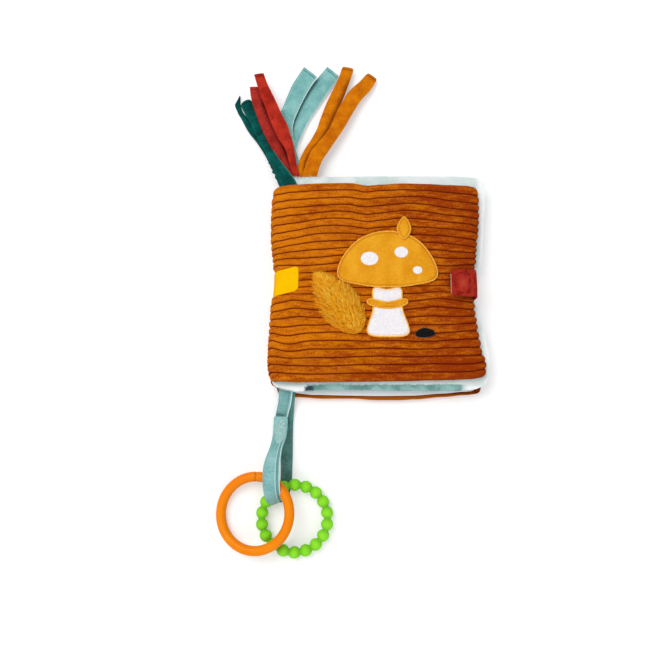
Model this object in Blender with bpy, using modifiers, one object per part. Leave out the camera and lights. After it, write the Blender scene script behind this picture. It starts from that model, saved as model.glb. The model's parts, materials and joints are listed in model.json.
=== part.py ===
"""A crinkle cloth book for a baby, lying closed on its back cover.

Two padded corduroy covers and one padded leaf turn about a cloth spine. Ribbons are sewn into its top, a
closure strap holds the fore edge, and a toy strap at its foot carries two rings. Metres, +Z up. The origin is
the centre of the back cover's flat underside, +X points from the spine to the fore edge and +Y to the book's
top edge.
"""

import math

import bpy
from mathutils import Matrix, Vector

MM = 0.001
GAP = 0.35 * MM  # clearance between pieces that touch on the real book
SEAM_GAP = 2.1 * MM  # between the rims of two cloths that are sewn together, whose walls lean inwards

# The closed book: levels above the table
BOOK_THICK = 25.0 * MM
COVER_THICK = 8.0 * MM
SPINE_MID = BOOK_THICK / 2
LEAF_THICK = BOOK_THICK - 2 * COVER_THICK - 2 * GAP
FRONT_LOW = BOOK_THICK - COVER_THICK
FRONT_SEAM = 19.5 * MM
BACK_SEAM = 4.0 * MM
FLAT_CUT = 0.5 * MM  # how deep the wales under the book are pressed flat by its weight

# Outlines seen from above: the side edges are drawn in between the corners
SPINE_X = -81.2 * MM
HINGE_X = SPINE_X - 0.4 * MM
FRONT_BOTTOM, FRONT_TOP = -69.4 * MM, 85.1 * MM
BACK_BOTTOM, BACK_TOP = -80.2 * MM, 80.2 * MM
LEAF_BOTTOM, LEAF_TOP = -71.9 * MM, 94.1 * MM
SPINE_EDGE = ((-0.080, SPINE_X), (-0.020, SPINE_X), (0.035, SPINE_X + 1.2 * MM), (0.095, SPINE_X + 1.8 * MM))
FRONT_EDGE = ((-0.069, 0.0808), (-0.045, 0.0762), (-0.012, 0.0738), (0.016, 0.0738), (0.040, 0.0755),
              (0.085, 0.0794))
BACK_EDGE = ((-0.080, 0.0802), (-0.045, 0.0785), (-0.012, 0.0745), (0.020, 0.0745), (0.045, 0.0775),
             (0.080, 0.0790))
LEAF_EDGE = ((-0.072, 0.0840), (-0.050, 0.0832), (-0.018, 0.0778), (-0.010, 0.0746), (0.018, 0.0746),
             (0.026, 0.0800), (0.060, 0.0835), (0.094, 0.0855))
CORNER = 7.0 * MM
CROWN_POWER, CROWN_ROOT = 5.0, 0.45
THIN_RIM = 0.1  # a filling's thickness at its rim, as a share of its middle's
LINING_BACK, LEAF_BACK, FILLING_BACK = 5.0 * MM, 3.2 * MM, 8.0 * MM  # how far each stays clear of the spine
FILM_INSET, BATTING_INSET = 8.0 * MM, 11.0 * MM

# Cloth
WALES = 25
WALE_RISE = 1.3 * MM
WALE_PHASES = (0.0, 0.3, 0.7)  # valley, then the two shoulders of the wale
CORD_WALL = 1.0 * MM
LINING_WALL = 0.8 * MM
FILM_WALL = 0.3 * MM
TAPE = 1.2 * MM
RIBBON, RIBBON_CREASE = 0.7 * MM, 0.5 * MM
FELT = 0.8 * MM
VELVET = 1.0 * MM
PATCH = 0.6 * MM

# Yellow label over the spine and red closure strap at the fore edge
LABEL_END_X, LABEL_END_Y = -60.0 * MM, 8.0 * MM
LABEL_SLOPE, LABEL_HALF = 0.22, 9.4 * MM
LABEL_END_U = -0.65  # where the label ends across the cover, from -1 at the spine to 1
CLOSURE_Y, CLOSURE_HALF = 4.0 * MM, 10.2 * MM
CLOSURE_X = 54.0 * MM
CLOSURE_PATH = ((0.0555, 0.0265), (0.0680, 0.0265), (0.0730, 0.0260), (0.0757, 0.0235), (0.0763, 0.0180),
                (0.0763, 0.0100), (0.0762, 0.0052))
CLOSURE_WALL = 1.4 * MM
HOOK_REACH, LOOP_REACH, PATCH_INSET = (0.0565, 0.0690), (0.0565, 0.0680), 2.0 * MM
PRESS_MARGIN = 2.5 * MM  # the wales are pressed down this far round a label or patch

# Rings
RING_RADIUS, RING_TUBE = 27.6 * MM, 3.7 * MM
BEAD_RADIUS, BEADS, BEAD_TUBE = 25.3 * MM, 18, 4.45 * MM
BEAD_NECK = 0.62  # tube radius between two beads, as a share of a bead's
GREEN_CENTRE = (-61.8 * MM, -168.7 * MM)
ORANGE_CENTRE = (-90.6 * MM, -165.0 * MM)
RING_CROSSINGS = ((-71.5, -144.5), (-81.0, -190.5))  # where the orange ring lies over the green one, in mm
GREEN_LIFT = 2.3 * MM  # the strap's back leg lies under the green ring's upper left side

COLOURS = {  # sRGB red, green, blue, then roughness
    "corduroy": (0.70, 0.34, 0.04, 0.9),
    "mint": (0.85, 0.89, 0.87, 0.9),
    "teal_print": (0.53, 0.68, 0.66, 0.9),
    "white_lining": (0.80, 0.83, 0.84, 0.9),
    "batting": (0.94, 0.94, 0.93, 1.0),
    "film": (0.86, 0.86, 0.84, 0.3),
    "yellow": (0.96, 0.77, 0.02, 0.8),
    "red": (0.62, 0.18, 0.11, 0.8),
    "red_ribbon": (0.70, 0.16, 0.10, 0.8),
    "green_ribbon": (0.03, 0.29, 0.26, 0.8),
    "blue_ribbon": (0.50, 0.71, 0.71, 0.8),
    "orange_ribbon": (0.78, 0.43, 0.03, 0.8),
    "strap": (0.55, 0.72, 0.70, 0.8),
    "golden_velvet": (0.88, 0.62, 0.16, 0.8),
    "golden_fur": (0.84, 0.56, 0.10, 0.9),
    "white_felt": (0.96, 0.95, 0.95, 0.95),
    "black_felt": (0.05, 0.04, 0.04, 0.95),
    "hook": (0.80, 0.76, 0.72, 0.7),
    "orange_plastic": (0.98, 0.53, 0.02, 0.35),
    "green_silicone": (0.55, 0.86, 0.22, 0.45),
}


def linear(value):
    return value / 12.92 if value <= 0.04045 else ((value + 0.055) / 1.055) ** 2.4


def material(name):
    found = bpy.data.materials.get(name)
    if found:
        return found
    *colour, roughness = COLOURS[name]
    made = bpy.data.materials.new(name)
    made.use_nodes = True
    shader = made.node_tree.nodes["Principled BSDF"]
    shader.inputs["Base Color"].default_value = (*(linear(c) for c in colour), 1.0)
    shader.inputs["Roughness"].default_value = roughness
    shader.inputs["Metallic"].default_value = 0.0
    return made


def start():
    for found in list(bpy.data.objects):
        bpy.data.objects.remove(found)
    book = bpy.data.collections.new("crinkle_cloth_book")
    bpy.context.scene.collection.children.link(book)
    return book


def keep(obj, name, slot, hinge=None):
    """Name a piece, give it its material and hang it from its hinge."""
    obj.name = obj.data.name = name
    obj.data.materials.clear()
    obj.data.materials.append(material(slot))
    for collection in list(obj.users_collection):
        collection.objects.unlink(obj)
    BOOK.objects.link(obj)
    if hinge:
        obj.parent = hinge
        obj.matrix_parent_inverse = hinge.matrix_world.inverted()
    return obj


def hinge_at(name, place, parent=None, turn=None):
    """An empty on a joint's axis."""
    empty = bpy.data.objects.new(name, None)
    empty.empty_display_size = 0.01
    BOOK.objects.link(empty)
    empty.matrix_world = Matrix.Translation(place) @ (turn or Matrix()).to_4x4()
    bpy.context.view_layer.update()
    if parent:
        empty.parent = parent
        empty.matrix_parent_inverse = parent.matrix_world.inverted()
        bpy.context.view_layer.update()
    return empty


def mix(a, b, t):
    return a + (b - a) * t


def ease(t):
    t = min(max(t, 0.0), 1.0)
    return t * t * (3 - 2 * t)


def along(keys, y):
    """A smooth value between the (y, value) keys."""
    if y <= keys[0][0]:
        return keys[0][1]
    for (y0, a), (y1, b) in zip(keys, keys[1:]):
        if y <= y1:
            return mix(a, b, ease((y - y0) / (y1 - y0)))
    return keys[-1][1]


def route(points, count):
    """Points at even steps of a smooth curve through the given rows of numbers."""
    rows = [Vector(p) for p in points]
    rows = [2 * rows[0] - rows[1], *rows, 2 * rows[-1] - rows[-2]]
    found = []
    for step in range(count):
        at = step * (len(points) - 1) / (count - 1)
        i = min(int(at), len(points) - 2)
        t = at - i
        a, b, c, d = rows[i : i + 4]
        found.append(
            0.5 * (2 * b + (c - a) * t + (2 * a - 5 * b + 4 * c - d) * t**2 + (3 * b - a - 3 * c + d) * t**3)
        )
    return found


def grid(across, up, place):
    """A grid primitive whose points are moved to place(u, v)."""
    columns, rows = len(across) - 1, len(up) - 1
    bpy.ops.mesh.primitive_grid_add(x_subdivisions=columns, y_subdivisions=rows, size=2)
    obj = bpy.context.object
    for vertex in obj.data.vertices:
        i = round((vertex.co.x + 1) / 2 * columns)
        j = round((vertex.co.y + 1) / 2 * rows)
        vertex.co = place(across[i], up[j])
    return obj


def wall(obj, thickness, offset=-1.0):
    made = obj.modifiers.new("wall", "SOLIDIFY")
    made.thickness = thickness
    made.offset = offset
    return obj


def evenly(low, high, cells):
    return [mix(low, high, i / cells) for i in range(cells + 1)]


def rim_steps(cells):
    """Positions from -1 to 1, closer together towards the rims."""
    return [math.sin(math.pi / 2 * t) for t in evenly(-1, 1, cells)]


def crown(u, v):
    """1 over most of a pad, falling to 0 at its rim."""
    return max(0.0, (1 - abs(u) ** CROWN_POWER) * (1 - abs(v) ** CROWN_POWER)) ** CROWN_ROOT


def outline(u, v, left, right, bottom, top):
    """The place of (u, v), each from -1 to 1, inside an outline with drawn-in sides and rounded corners."""
    y = mix(bottom, top, (v + 1) / 2)
    past = CORNER - min(y - bottom, top - y)
    inset = CORNER - math.sqrt(max(0.0, CORNER**2 - past**2)) if past > 0 else 0.0
    low, high = along(left, y), along(right, y) - inset
    return mix(low, high, (u + 1) / 2), y


def pressed(x, y):
    """1 where a label or patch presses the wales down, else 0."""
    label = x < LABEL_END_X + PRESS_MARGIN and abs(y - label_middle(x)) < LABEL_HALF + PRESS_MARGIN
    patch = x > CLOSURE_X - PRESS_MARGIN and abs(y - CLOSURE_Y) < CLOSURE_HALF + PRESS_MARGIN
    return 1.0 if label or patch else 0.0


def label_middle(x):
    return LABEL_END_Y + LABEL_SLOPE * (max(x, SPINE_X) - LABEL_END_X)


def wale_rows():
    """Where the rows of a corduroy skin lie: valley and shoulders of each wale, and both rims."""
    return [-1 + 2 * (k + phase) / WALES for k in range(WALES) for phase in WALE_PHASES] + [1.0]


def relief(v):
    phase = (v + 1) / 2 * WALES % 1.0
    return WALE_RISE if 0.2 < phase < 0.8 else 0.0


SPINE_TURN = 0.3  # the part of u, below -1, over which the cloth turns round the spine
SPINE_REACH = 6.0 * MM


def cover_skin(u, v, bottom, top, edge, seam, face, lift=0.0):
    """A cover's corduroy: it rises from the spine's middle, turns onto the face and falls to the seam."""
    x, y = outline(max(u, -1.0), v, SPINE_EDGE, edge, bottom, top)
    high = seam + (face - seam) * crown(max(u, 0.0), v)
    start = along(SPINE_EDGE, y) + WALE_RISE
    up = 1.0 if face > seam else -1.0
    rise = lift + relief(v) * (1 - pressed(x, y))
    if u >= -1:
        x = mix(start + SPINE_REACH, x, ease_in(u))
        return Vector((x, y, high + up * rise * min(1.0, 4 * crown(max(u, 0.0), v))))
    turn = max(0.0, (u + 1 + SPINE_TURN) / SPINE_TURN * math.pi / 2)
    middle = SPINE_MID + up * GAP / 2
    out = max(0.0, math.cos(turn)) ** 0.8
    rise = lift + relief(v) * (1 - pressed(start, y))
    return Vector(
        (
            start + SPINE_REACH * (1 - math.cos(turn)) - rise * out,
            y,
            mix(middle, high, math.sin(turn) ** 0.75) + up * rise * math.sin(turn),
        )
    )


def ease_in(u):
    """0 at the turn of the spine, 1 from a quarter of the cover's width on."""
    return min(1.0, (u + 1) / 0.5 + 1e-6)


def front_face(u, v, lift=0.0):
    return cover_skin(u, v, FRONT_BOTTOM, FRONT_TOP, FRONT_EDGE, FRONT_SEAM, BOOK_THICK - WALE_RISE, lift)


def back_face(u, v, lift=0.0):
    """The underside: its wales are cut flat at the table."""
    point = cover_skin(u, v, BACK_BOTTOM, BACK_TOP, BACK_EDGE, BACK_SEAM, WALE_RISE - FLAT_CUT, lift)
    point.z = max(point.z, 0.0)
    return point


def corduroy_skins(cover_hinge):
    across = (-1.3, -1.22, -1.1, -0.92, 0.55, 0.86, 0.97, 1.0)
    front = wall(grid(across, wale_rows(), front_face), CORD_WALL)
    keep(front, "front_cover_corduroy", "corduroy", cover_hinge)
    back = grid(across, wale_rows(), back_face)
    back.data.flip_normals()
    keep(wall(back, CORD_WALL), "back_cover_corduroy", "corduroy")


def dish(name, slot, shape, rim, face, thickness, hinge=None, cells=10, inset=0.0, left=0.0):
    """One side of a pad: a cloth that leaves its rim and bulges to its face level."""
    bottom, top, edge = shape
    spine = tuple((y, x + left) for y, x in SPINE_EDGE)
    outer = tuple((y, x - inset) for y, x in edge)

    def place(u, v):
        x, y = outline(u, v, spine, outer, bottom + inset, top - inset)
        return Vector((x, y, rim + (face - rim) * crown(u, v)))

    steps = rim_steps(cells)
    obj = grid(steps, steps, place)
    if face < rim:
        obj.data.flip_normals()
    return keep(wall(obj, thickness), name, slot, hinge)


def filling(name, slot, shape, low, high, rim, hinge=None, inset=FILM_INSET, cells=8):
    """A loose pad inside: full between its low and high levels in the middle, and thin at its rim."""
    bottom, top, edge = shape
    spine = tuple((y, x + FILLING_BACK) for y, x in SPINE_EDGE)
    outer = tuple((y, x - inset) for y, x in edge)

    def place(u, v):
        x, y = outline(u, v, spine, outer, bottom + inset, top - inset)
        return Vector((x, y, mix(rim, (low + high) / 2, crown(u, v))))

    steps = rim_steps(cells)
    obj = wall(grid(steps, steps, place), high - low, 0.0)
    fullness = obj.vertex_groups.new(name="fullness")
    for index in range(len(obj.data.vertices)):
        u, v = steps[index % (cells + 1)], steps[index // (cells + 1)]
        fullness.add([index], max(crown(u, v), THIN_RIM), "REPLACE")
    obj.modifiers["wall"].vertex_group = "fullness"
    return keep(obj, name, slot, hinge)


FRONT_SHAPE = (FRONT_BOTTOM, FRONT_TOP, FRONT_EDGE)
BACK_SHAPE = (BACK_BOTTOM, BACK_TOP, BACK_EDGE)
LEAF_SHAPE = (LEAF_BOTTOM, LEAF_TOP, LEAF_EDGE)


def cover_insides(cover_hinge):
    """Lining, crinkle film and batting of both covers."""
    shape, hinge = FRONT_SHAPE, cover_hinge
    rim = FRONT_SEAM - SEAM_GAP
    dish("front_cover_lining", "mint", shape, rim, FRONT_LOW, LINING_WALL, hinge, left=LINING_BACK)
    level = FRONT_LOW + LINING_WALL + GAP
    rim = FRONT_SEAM + 0.1 * MM
    filling("front_cover_crinkle_film", "film", shape, level, level + FILM_WALL, rim, hinge, FILM_INSET)
    level += FILM_WALL + GAP
    high = BOOK_THICK - WALE_RISE - CORD_WALL - GAP
    filling("front_cover_batting", "batting", shape, level, high, rim + 0.9 * MM, hinge, BATTING_INSET)

    shape = BACK_SHAPE
    rim = BACK_SEAM + SEAM_GAP
    dish("back_cover_lining", "white_lining", shape, rim, COVER_THICK, LINING_WALL, left=LINING_BACK)
    level = COVER_THICK - LINING_WALL - GAP
    rim = BACK_SEAM + 0.8 * MM
    filling("back_cover_crinkle_film", "film", shape, level - FILM_WALL, level, rim, inset=FILM_INSET)
    level -= FILM_WALL + GAP
    low = WALE_RISE - FLAT_CUT + CORD_WALL + GAP
    filling("back_cover_batting", "batting", shape, low, level, rim - 0.7 * MM, inset=BATTING_INSET)


def leaf(leaf_hinge):
    """The one inner leaf: two cloths about crinkle film and batting."""
    half = LEAF_THICK / 2
    for name, slot, side in (("leaf_front_fabric", "mint", 1), ("leaf_back_fabric", "teal_print", -1)):
        rim = SPINE_MID + side * SEAM_GAP / 2
        face = SPINE_MID + side * half
        dish(name, slot, LEAF_SHAPE, rim, face, LINING_WALL, leaf_hinge, 12, left=LEAF_BACK)
    high = SPINE_MID + half - LINING_WALL - GAP
    rim = SPINE_MID + 0.7 * MM
    filling("leaf_crinkle_film", "film", LEAF_SHAPE, high - FILM_WALL, high, rim, leaf_hinge, 9 * MM)
    low = SPINE_MID - half + LINING_WALL + GAP
    high -= FILM_WALL + GAP
    filling("leaf_batting", "batting", LEAF_SHAPE, low, high, rim - 1.1 * MM, leaf_hinge, 12 * MM)


def spine_label(cover_hinge):
    """The yellow label wraps the spine and is pressed into the wales; it parts where the spine does."""
    across = (-1.3, -1.22, -1.1, -0.92, LABEL_END_U)

    def on_cover(face, bottom, top):
        def place(u, t):
            x = face(u, 0.0).x
            y = label_middle(x) + t * LABEL_HALF
            v = 2 * (y - bottom) / (top - bottom) - 1
            return face(u, v, GAP + PATCH - relief(v) * (1 - pressed(face(u, v).x, y)))

        return place

    upper = wall(grid(across, evenly(-1, 1, 4), on_cover(front_face, FRONT_BOTTOM, FRONT_TOP)), PATCH)
    keep(upper, "spine_label_upper", "yellow", cover_hinge)
    lower = grid((-1.3, -1.22), evenly(-1, 1, 4), on_cover(back_face, BACK_BOTTOM, BACK_TOP))
    lower.data.flip_normals()
    keep(wall(lower, PATCH), "spine_label_lower", "yellow")


def spread(values, count):
    """Numbers given along a route, smoothed to one for each of its points."""
    if len(values) == 1:
        return [values[0]] * count
    return [row[0] for row in route([(value, 0.0, 0.0) for value in values], count)]


def strip(points, count, widths, thickness, fold=0.0, turns=(0.0,), end_round=0.0):
    """A ribbon or tape along a smooth route. Its cross direction is level, then rolled by the turns."""
    centres = route(points, count)
    halves = spread(widths, count)
    rolls = spread(turns, count)

    def place(s, row):
        i = int(row)
        ahead = centres[min(i + 1, count - 1)] - centres[max(i - 1, 0)]
        side = Vector((ahead.y, -ahead.x, 0.0)).normalized()
        side = Matrix.Rotation(math.radians(rolls[i]), 3, ahead.normalized()) @ side
        up = side.cross(ahead).normalized()
        near_end = max(0.0, (i + 3 - count) / 2)
        half = halves[i] * math.sqrt(1 - end_round * near_end**2)
        return centres[i] + side * s * half + up * fold * (1 - abs(s))

    obj = grid((-1.0, 0.0, 1.0), [float(i) for i in range(count)], place)
    return wall(obj, thickness, 0.0)


RIBBON_BEND = (-60.0 * MM, 95.5 * MM, 8.5 * MM)  # where the ribbons leave the book's top edge and bend
GREEN_BEND = (-73.0 * MM, 95.5 * MM, 14.5 * MM)
RIBBONS = {  # each tail's route from its seam and its half widths in mm, and its roll in degrees
    "green": (
        "green_ribbon",
        (
            ((-69.3, 84.5, 16.0), (-73.5, 97, 14.9), (-82.5, 113, 5.4), (-90.5, 130, 3), (-103, 149, 2.4),
             (-110.5, 163, 2)),
            (5.6, 4.8, 4.9, 5.0, 4.4, 3.2),
            (0, 6, 12, 10, 16, 24),
        ),
        (
            ((-69.5, 86.3, 17.0), (-73, 98, 16.1), (-81, 113, 9.2), (-89, 130, 6.2), (-96.6, 146, 5.4),
             (-99.5, 158, 7.2)),
            (4.6, 4.6, 4.6, 4.6, 4.2, 3.4),
            (0, 6, 12, 8, 0, -20),
        ),
    ),
    "red": (
        "red_ribbon",
        (
            ((-63, 81.5, 6.8), (-63.6, 96, 8.6), (-70.6, 116, 9), (-81.5, 136, 8.2), (-91.5, 157, 8.6),
             (-98.2, 174, 9.6)),
            (3.6, 3.8, 4.2, 4.2, 3.8, 3.4),
            (0, 0, 6, 10, 10, 0),
        ),
        (
            ((-62.6, 81.5, 7.9), (-62.8, 96, 9.9), (-66.5, 116, 11.8), (-75.5, 140, 12), (-87, 165, 12),
             (-95, 185, 12.2)),
            (3.6, 3.8, 4.2, 4.4, 4.0, 3.4),
            (0, 0, 6, 8, 6, 0),
        ),
    ),
    "blue": (
        "blue_ribbon",
        (
            ((-60, 81.5, 5.6), (-61, 96, 5.8), (-62.3, 115, 5.4), (-64.5, 140, 4.8), (-60.5, 166, 4.6),
             (-52.5, 190, 4.8)),
            (4.6, 4.8, 5.2, 5.8, 6.0, 5.8),
            (0, 0, 0, 0, 0, 0),
        ),
        (
            ((-58, 81.5, 4.3), (-58.5, 96, 3.8), (-57, 115, 2.4), (-52, 140, 1.6), (-44, 166, 1.5),
             (-33.6, 189, 1.7)),
            (4.6, 4.8, 5.6, 6.2, 6.4, 6.2),
            (0, 0, 0, 0, 0, 0),
        ),
    ),
    "orange": (
        "orange_ribbon",
        (
            ((-54, 81.5, 6.9), (-55, 96, 7.5), (-52, 115, 7), (-43.5, 138, 5.6), (-32.5, 163, 5),
             (-22.5, 188, 4.6)),
            (4.0, 4.2, 4.6, 5.0, 5.0, 4.6),
            (0, 0, -4, -4, 0, 0),
        ),
        (
            ((-50, 81.5, 8.2), (-50.8, 96, 9.2), (-46.2, 115, 9.2), (-34.5, 136, 7.8), (-19.5, 158, 4.6),
             (-4.5, 181, 2.6)),
            (4.4, 4.8, 5.2, 5.4, 5.2, 4.4),
            (0, 0, -4, -4, 0, 0),
        ),
    ),
}


def in_metres(points):
    return [tuple(c * MM for c in p) for p in points]


def halves_of(widths):
    return [half * MM for half in widths]


def ribbons():
    """Four folded ribbons with two tails each; every ribbon lifts where it leaves the book."""
    for colour, (slot, *tails) in RIBBONS.items():
        hinge = hinge_at(f"{colour}_ribbon_hinge", GREEN_BEND if colour == "green" else RIBBON_BEND)
        for end, (points, widths, turns) in zip(("left", "right"), tails):
            tail = strip(in_metres(points), 12, halves_of(widths), RIBBON, RIBBON_CREASE, turns)
            keep(tail, f"{colour}_ribbon_{end}_tail", slot, hinge)


def closure_strap(closure_hinge):
    """The red strap: from the back cover's fore edge over onto the front cover, with its hook patch."""

    def place(s, row):
        x, z = CLOSURE_PATH[int(row)]
        return Vector((x, CLOSURE_Y + s * CLOSURE_HALF, z))

    strap = grid((-1.0, 0.0, 1.0), [float(i) for i in range(len(CLOSURE_PATH))], place)
    keep(wall(strap, CLOSURE_WALL, 0.0), "closure_strap", "red", closure_hinge)
    top = CLOSURE_PATH[0][1] - CLOSURE_WALL / 2 - GAP
    closure_patch("closure_hook_patch", "hook", HOOK_REACH, top, closure_hinge)


def closure_patch(name, slot, reach, high, hinge):
    """A flat patch under the red strap, with softened edges, whose top is at the given height."""
    bpy.ops.mesh.primitive_cube_add(size=1)
    obj = bpy.context.object
    size = Vector((reach[1] - reach[0], 2 * (CLOSURE_HALF - PATCH_INSET), PATCH))
    centre = Vector(((reach[0] + reach[1]) / 2, CLOSURE_Y, high - PATCH / 2))
    for vertex in obj.data.vertices:
        vertex.co = Vector(a * b for a, b in zip(vertex.co, size)) + centre
    soft = obj.modifiers.new("edges", "BEVEL")
    soft.width = PATCH / 4
    soft.segments = 1
    return keep(obj, name, slot, hinge)


STRAP_BEND = (-68.0 * MM, -82.0 * MM, 7.5 * MM)  # where the strap leaves the book's foot
STRAP_FOLD = (-74.2 * MM, -160.0 * MM, 3.0 * MM)  # the bottom of the loop
# The toy strap's three stretches: points in mm, then half widths in mm
STUB = ((-69.5, -69, 9.6), (-69.7, -75, 9.7), (-70.6, -84, 8.6), (-72.2, -93, 5.0), (-73.3, -103, 4.0),
        (-73.6, -109, 3.7))
STUB_HALVES = (5.7, 5.7, 5.6, 5.5, 5.5, 5.2)
BACK_LEG = ((-66.0, -69, 8.05), (-66.0, -75, 7.95), (-66.0, -82, 7.0), (-66.4, -91, 2.8), (-67.6, -105, 1.1),
            (-68.4, -119, 1.0), (-68.6, -132, 1.0), (-69.2, -143, 1.0), (-71.4, -152, 1.1),
            (-73.8, -157.6, 1.6))
BACK_HALVES = (4.6, 4.6, 4.6, 4.5, 4.5, 4.5, 4.4, 4.2, 4.0, 3.6)
FRONT_LEG = ((-74.4, -160.2, 4.2), (-74.9, -158.4, 10.0), (-76.4, -154.5, 16.0), (-78.0, -147.5, 20.9),
             (-78.2, -139, 21.4), (-78.3, -130, 19.4), (-77.6, -120, 14.2), (-76.0, -110, 9.4),
             (-74.8, -101, 7.8), (-73.4, -92, 8.7))
FRONT_HALVES = (3.6, 3.9, 4.6, 5.8, 6.4, 6.4, 6.0, 5.5, 5.3, 5.0)
HOOK_HALF = 3.8


def toy_strap(strap_hinge, tab_hinge):
    """Velvet tape: a stub and a long back leg from one seam, and the front leg that closes onto the stub."""
    stub = strip(in_metres(STUB), 8, halves_of(STUB_HALVES), TAPE)
    keep(stub, "strap_stub", "strap", strap_hinge)
    back = strip(in_metres(BACK_LEG), 15, halves_of(BACK_HALVES), TAPE)
    keep(back, "strap_back_leg", "strap", strap_hinge)
    front = strip(in_metres(FRONT_LEG), 17, halves_of(FRONT_HALVES), TAPE, end_round=0.6)
    keep(front, "strap_front_leg", "strap", tab_hinge)
    apart = TAPE / 2 + GAP + PATCH / 2
    for name, legs, lift, hinge in (
        ("strap_loop_patch", STUB[3:], apart, strap_hinge),
        ("strap_hook_patch", FRONT_LEG[-2:], -apart, tab_hinge),
    ):
        points = [(x, y, z + lift) for x, y, z in in_metres(legs)]
        keep(strip(points, 4, halves_of((HOOK_HALF,)), PATCH), name, "hook", hinge)


def plane_turn(normal):
    return Vector((0, 0, 1)).rotation_difference(normal).to_matrix()


def green_ring_plane():
    """The green ring lies on the table and, at its upper left, on the strap's back leg."""
    towards = Vector((-0.28, 0.96, 0.0)).normalized()
    tilt = GREEN_LIFT / (2 * BEAD_RADIUS)
    normal = Vector((-towards.x * tilt, -towards.y * tilt, 1.0)).normalized()
    centre = Vector((*GREEN_CENTRE, BEAD_TUBE + GREEN_LIFT / 2 + 0.1 * MM))
    return centre, normal


def height_on(plane, x, y):
    centre, normal = plane
    return centre.z - (normal.x * (x - centre.x) + normal.y * (y - centre.y)) / normal.z


def orange_ring_plane(green):
    """The orange ring leans: its left side is on the table and it crosses the green ring at two places."""
    left = Vector((*ORANGE_CENTRE, RING_TUBE + 0.05 * MM)) + Vector((-0.96, 0.2, 0.0)) * RING_RADIUS
    crossings = [Vector((x * MM, y * MM, 0)) for x, y in RING_CROSSINGS]
    for point in crossings:
        point.z = height_on(green, point.x, point.y) + BEAD_TUBE + RING_TUBE + GAP
    normal = (crossings[1] - left).cross(crossings[0] - left).normalized()
    centre = Vector((*ORANGE_CENTRE, 0))
    centre.z = height_on((left, normal), *ORANGE_CENTRE)
    return centre, normal


def ring(name, slot, hinge, plane, radius, tube, segments, sides, beads=0):
    """A torus; with beads, its tube swells and narrows as a string of balls does."""
    bpy.ops.mesh.primitive_torus_add(
        major_radius=radius, minor_radius=tube, major_segments=segments, minor_segments=sides
    )
    obj = bpy.context.object
    centre, normal = plane
    place = Matrix.Translation(centre) @ plane_turn(normal).to_4x4()
    for vertex in obj.data.vertices:
        point = vertex.co.copy()
        if beads:
            flat = Vector((point.x, point.y, 0)).normalized() * radius
            phase = math.atan2(point.y, point.x) / (2 * math.pi) * beads % 1.0 - 0.5
            half_step = math.pi * radius / beads
            ball = math.sqrt(max(0.0, tube**2 - (2 * phase * half_step) ** 2))
            point = flat + (point - flat) * max(BEAD_NECK, ball / tube)
        vertex.co = place @ point
    obj.data.shade_smooth()
    return keep(obj, name, slot, hinge)


ART_X, ART_Y = 6.0 * MM, 8.0 * MM
ART_LEVEL = BOOK_THICK + GAP
CAP_OUTLINE = ((-35, 0), (-33, 15), (-19, 31), (2, 37), (23, 31), (36, 15), (38, 0), (20, -5.5), (1, -7),
               (-17, -5.5))
STEM_OUTLINE = ((-9.5, -8.6), (1, -8.9), (11.5, -8.6), (12.5, -24), (17, -42), (2, -45), (-14, -42),
                (-10, -24))
COLLAR_OUTLINE = ((-12, -16), (1, -18.5), (14, -16), (15, -20.5), (1, -23.5), (-13, -20.5))
PEBBLE_OUTLINE = ((22, -41), (28, -38), (35, -40), (36, -43.5), (29, -45.5), (22, -44.5))
FLAP_OUTLINE = ((0, 0), (4.8, 5), (5.2, 11), (0.5, 18), (-4.6, 11), (-4.2, 5))
DOTS = {
    "cap_dot_large": (-12, 15, 7.0, 5.6),
    "cap_dot_middle": (12, 20, 5.4, 4.6),
    "cap_dot_small": (24, 6, 3.8, 3.2),
}
FLAP_BASE = (14.0, 30.0)


def flat_piece(name, slot, points, shift, low, thickness, hinge=None):
    """A cut piece of cloth: a smooth closed outline in mm, filled and given its thickness."""
    curve = bpy.data.curves.new(name, "CURVE")
    curve.dimensions = "2D"
    curve.fill_mode = "BOTH"
    curve.resolution_u = 5
    curve.extrude = thickness / 2
    spline = curve.splines.new("BEZIER")
    spline.bezier_points.add(len(points) - 1)
    spline.use_cyclic_u = True
    for knot, (x, y) in zip(spline.bezier_points, points):
        knot.co = (x * MM, y * MM, 0.0)
        knot.handle_left_type = knot.handle_right_type = "AUTO"
    obj = bpy.data.objects.new(name, curve)
    bpy.context.scene.collection.objects.link(obj)
    obj.location = (shift[0], shift[1], low + thickness / 2)
    bpy.context.view_layer.update()
    return keep(obj, name, slot, hinge)


def applique(cover_hinge, flap_hinge):
    """A mushroom, a furry leaf and a pebble on the front cover, and a small leaf sewn only at its base."""
    shift = (ART_X, ART_Y)
    flat_piece("mushroom_cap", "golden_velvet", CAP_OUTLINE, shift, ART_LEVEL, VELVET, cover_hinge)
    flat_piece("mushroom_stem", "white_felt", STEM_OUTLINE, shift, ART_LEVEL, FELT, cover_hinge)
    above = ART_LEVEL + FELT + GAP
    flat_piece("mushroom_collar", "golden_velvet", COLLAR_OUTLINE, shift, above, FELT, cover_hinge)
    flat_piece("felt_pebble", "black_felt", PEBBLE_OUTLINE, shift, ART_LEVEL, FELT, cover_hinge)
    above = ART_LEVEL + VELVET + GAP
    for name, (x, y, wide, tall) in DOTS.items():
        turns = [k * math.pi / 4 for k in range(8)]
        points = [(x + wide * math.cos(a), y + tall * math.sin(a)) for a in turns]
        flat_piece(name, "white_felt", points, shift, above, FELT, cover_hinge)
    base = (ART_X + FLAP_BASE[0] * MM, ART_Y + FLAP_BASE[1] * MM)
    flat_piece("leaf_flap", "golden_velvet", FLAP_OUTLINE, base, above, VELVET, flap_hinge)
    fur_leaf(cover_hinge)


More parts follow.
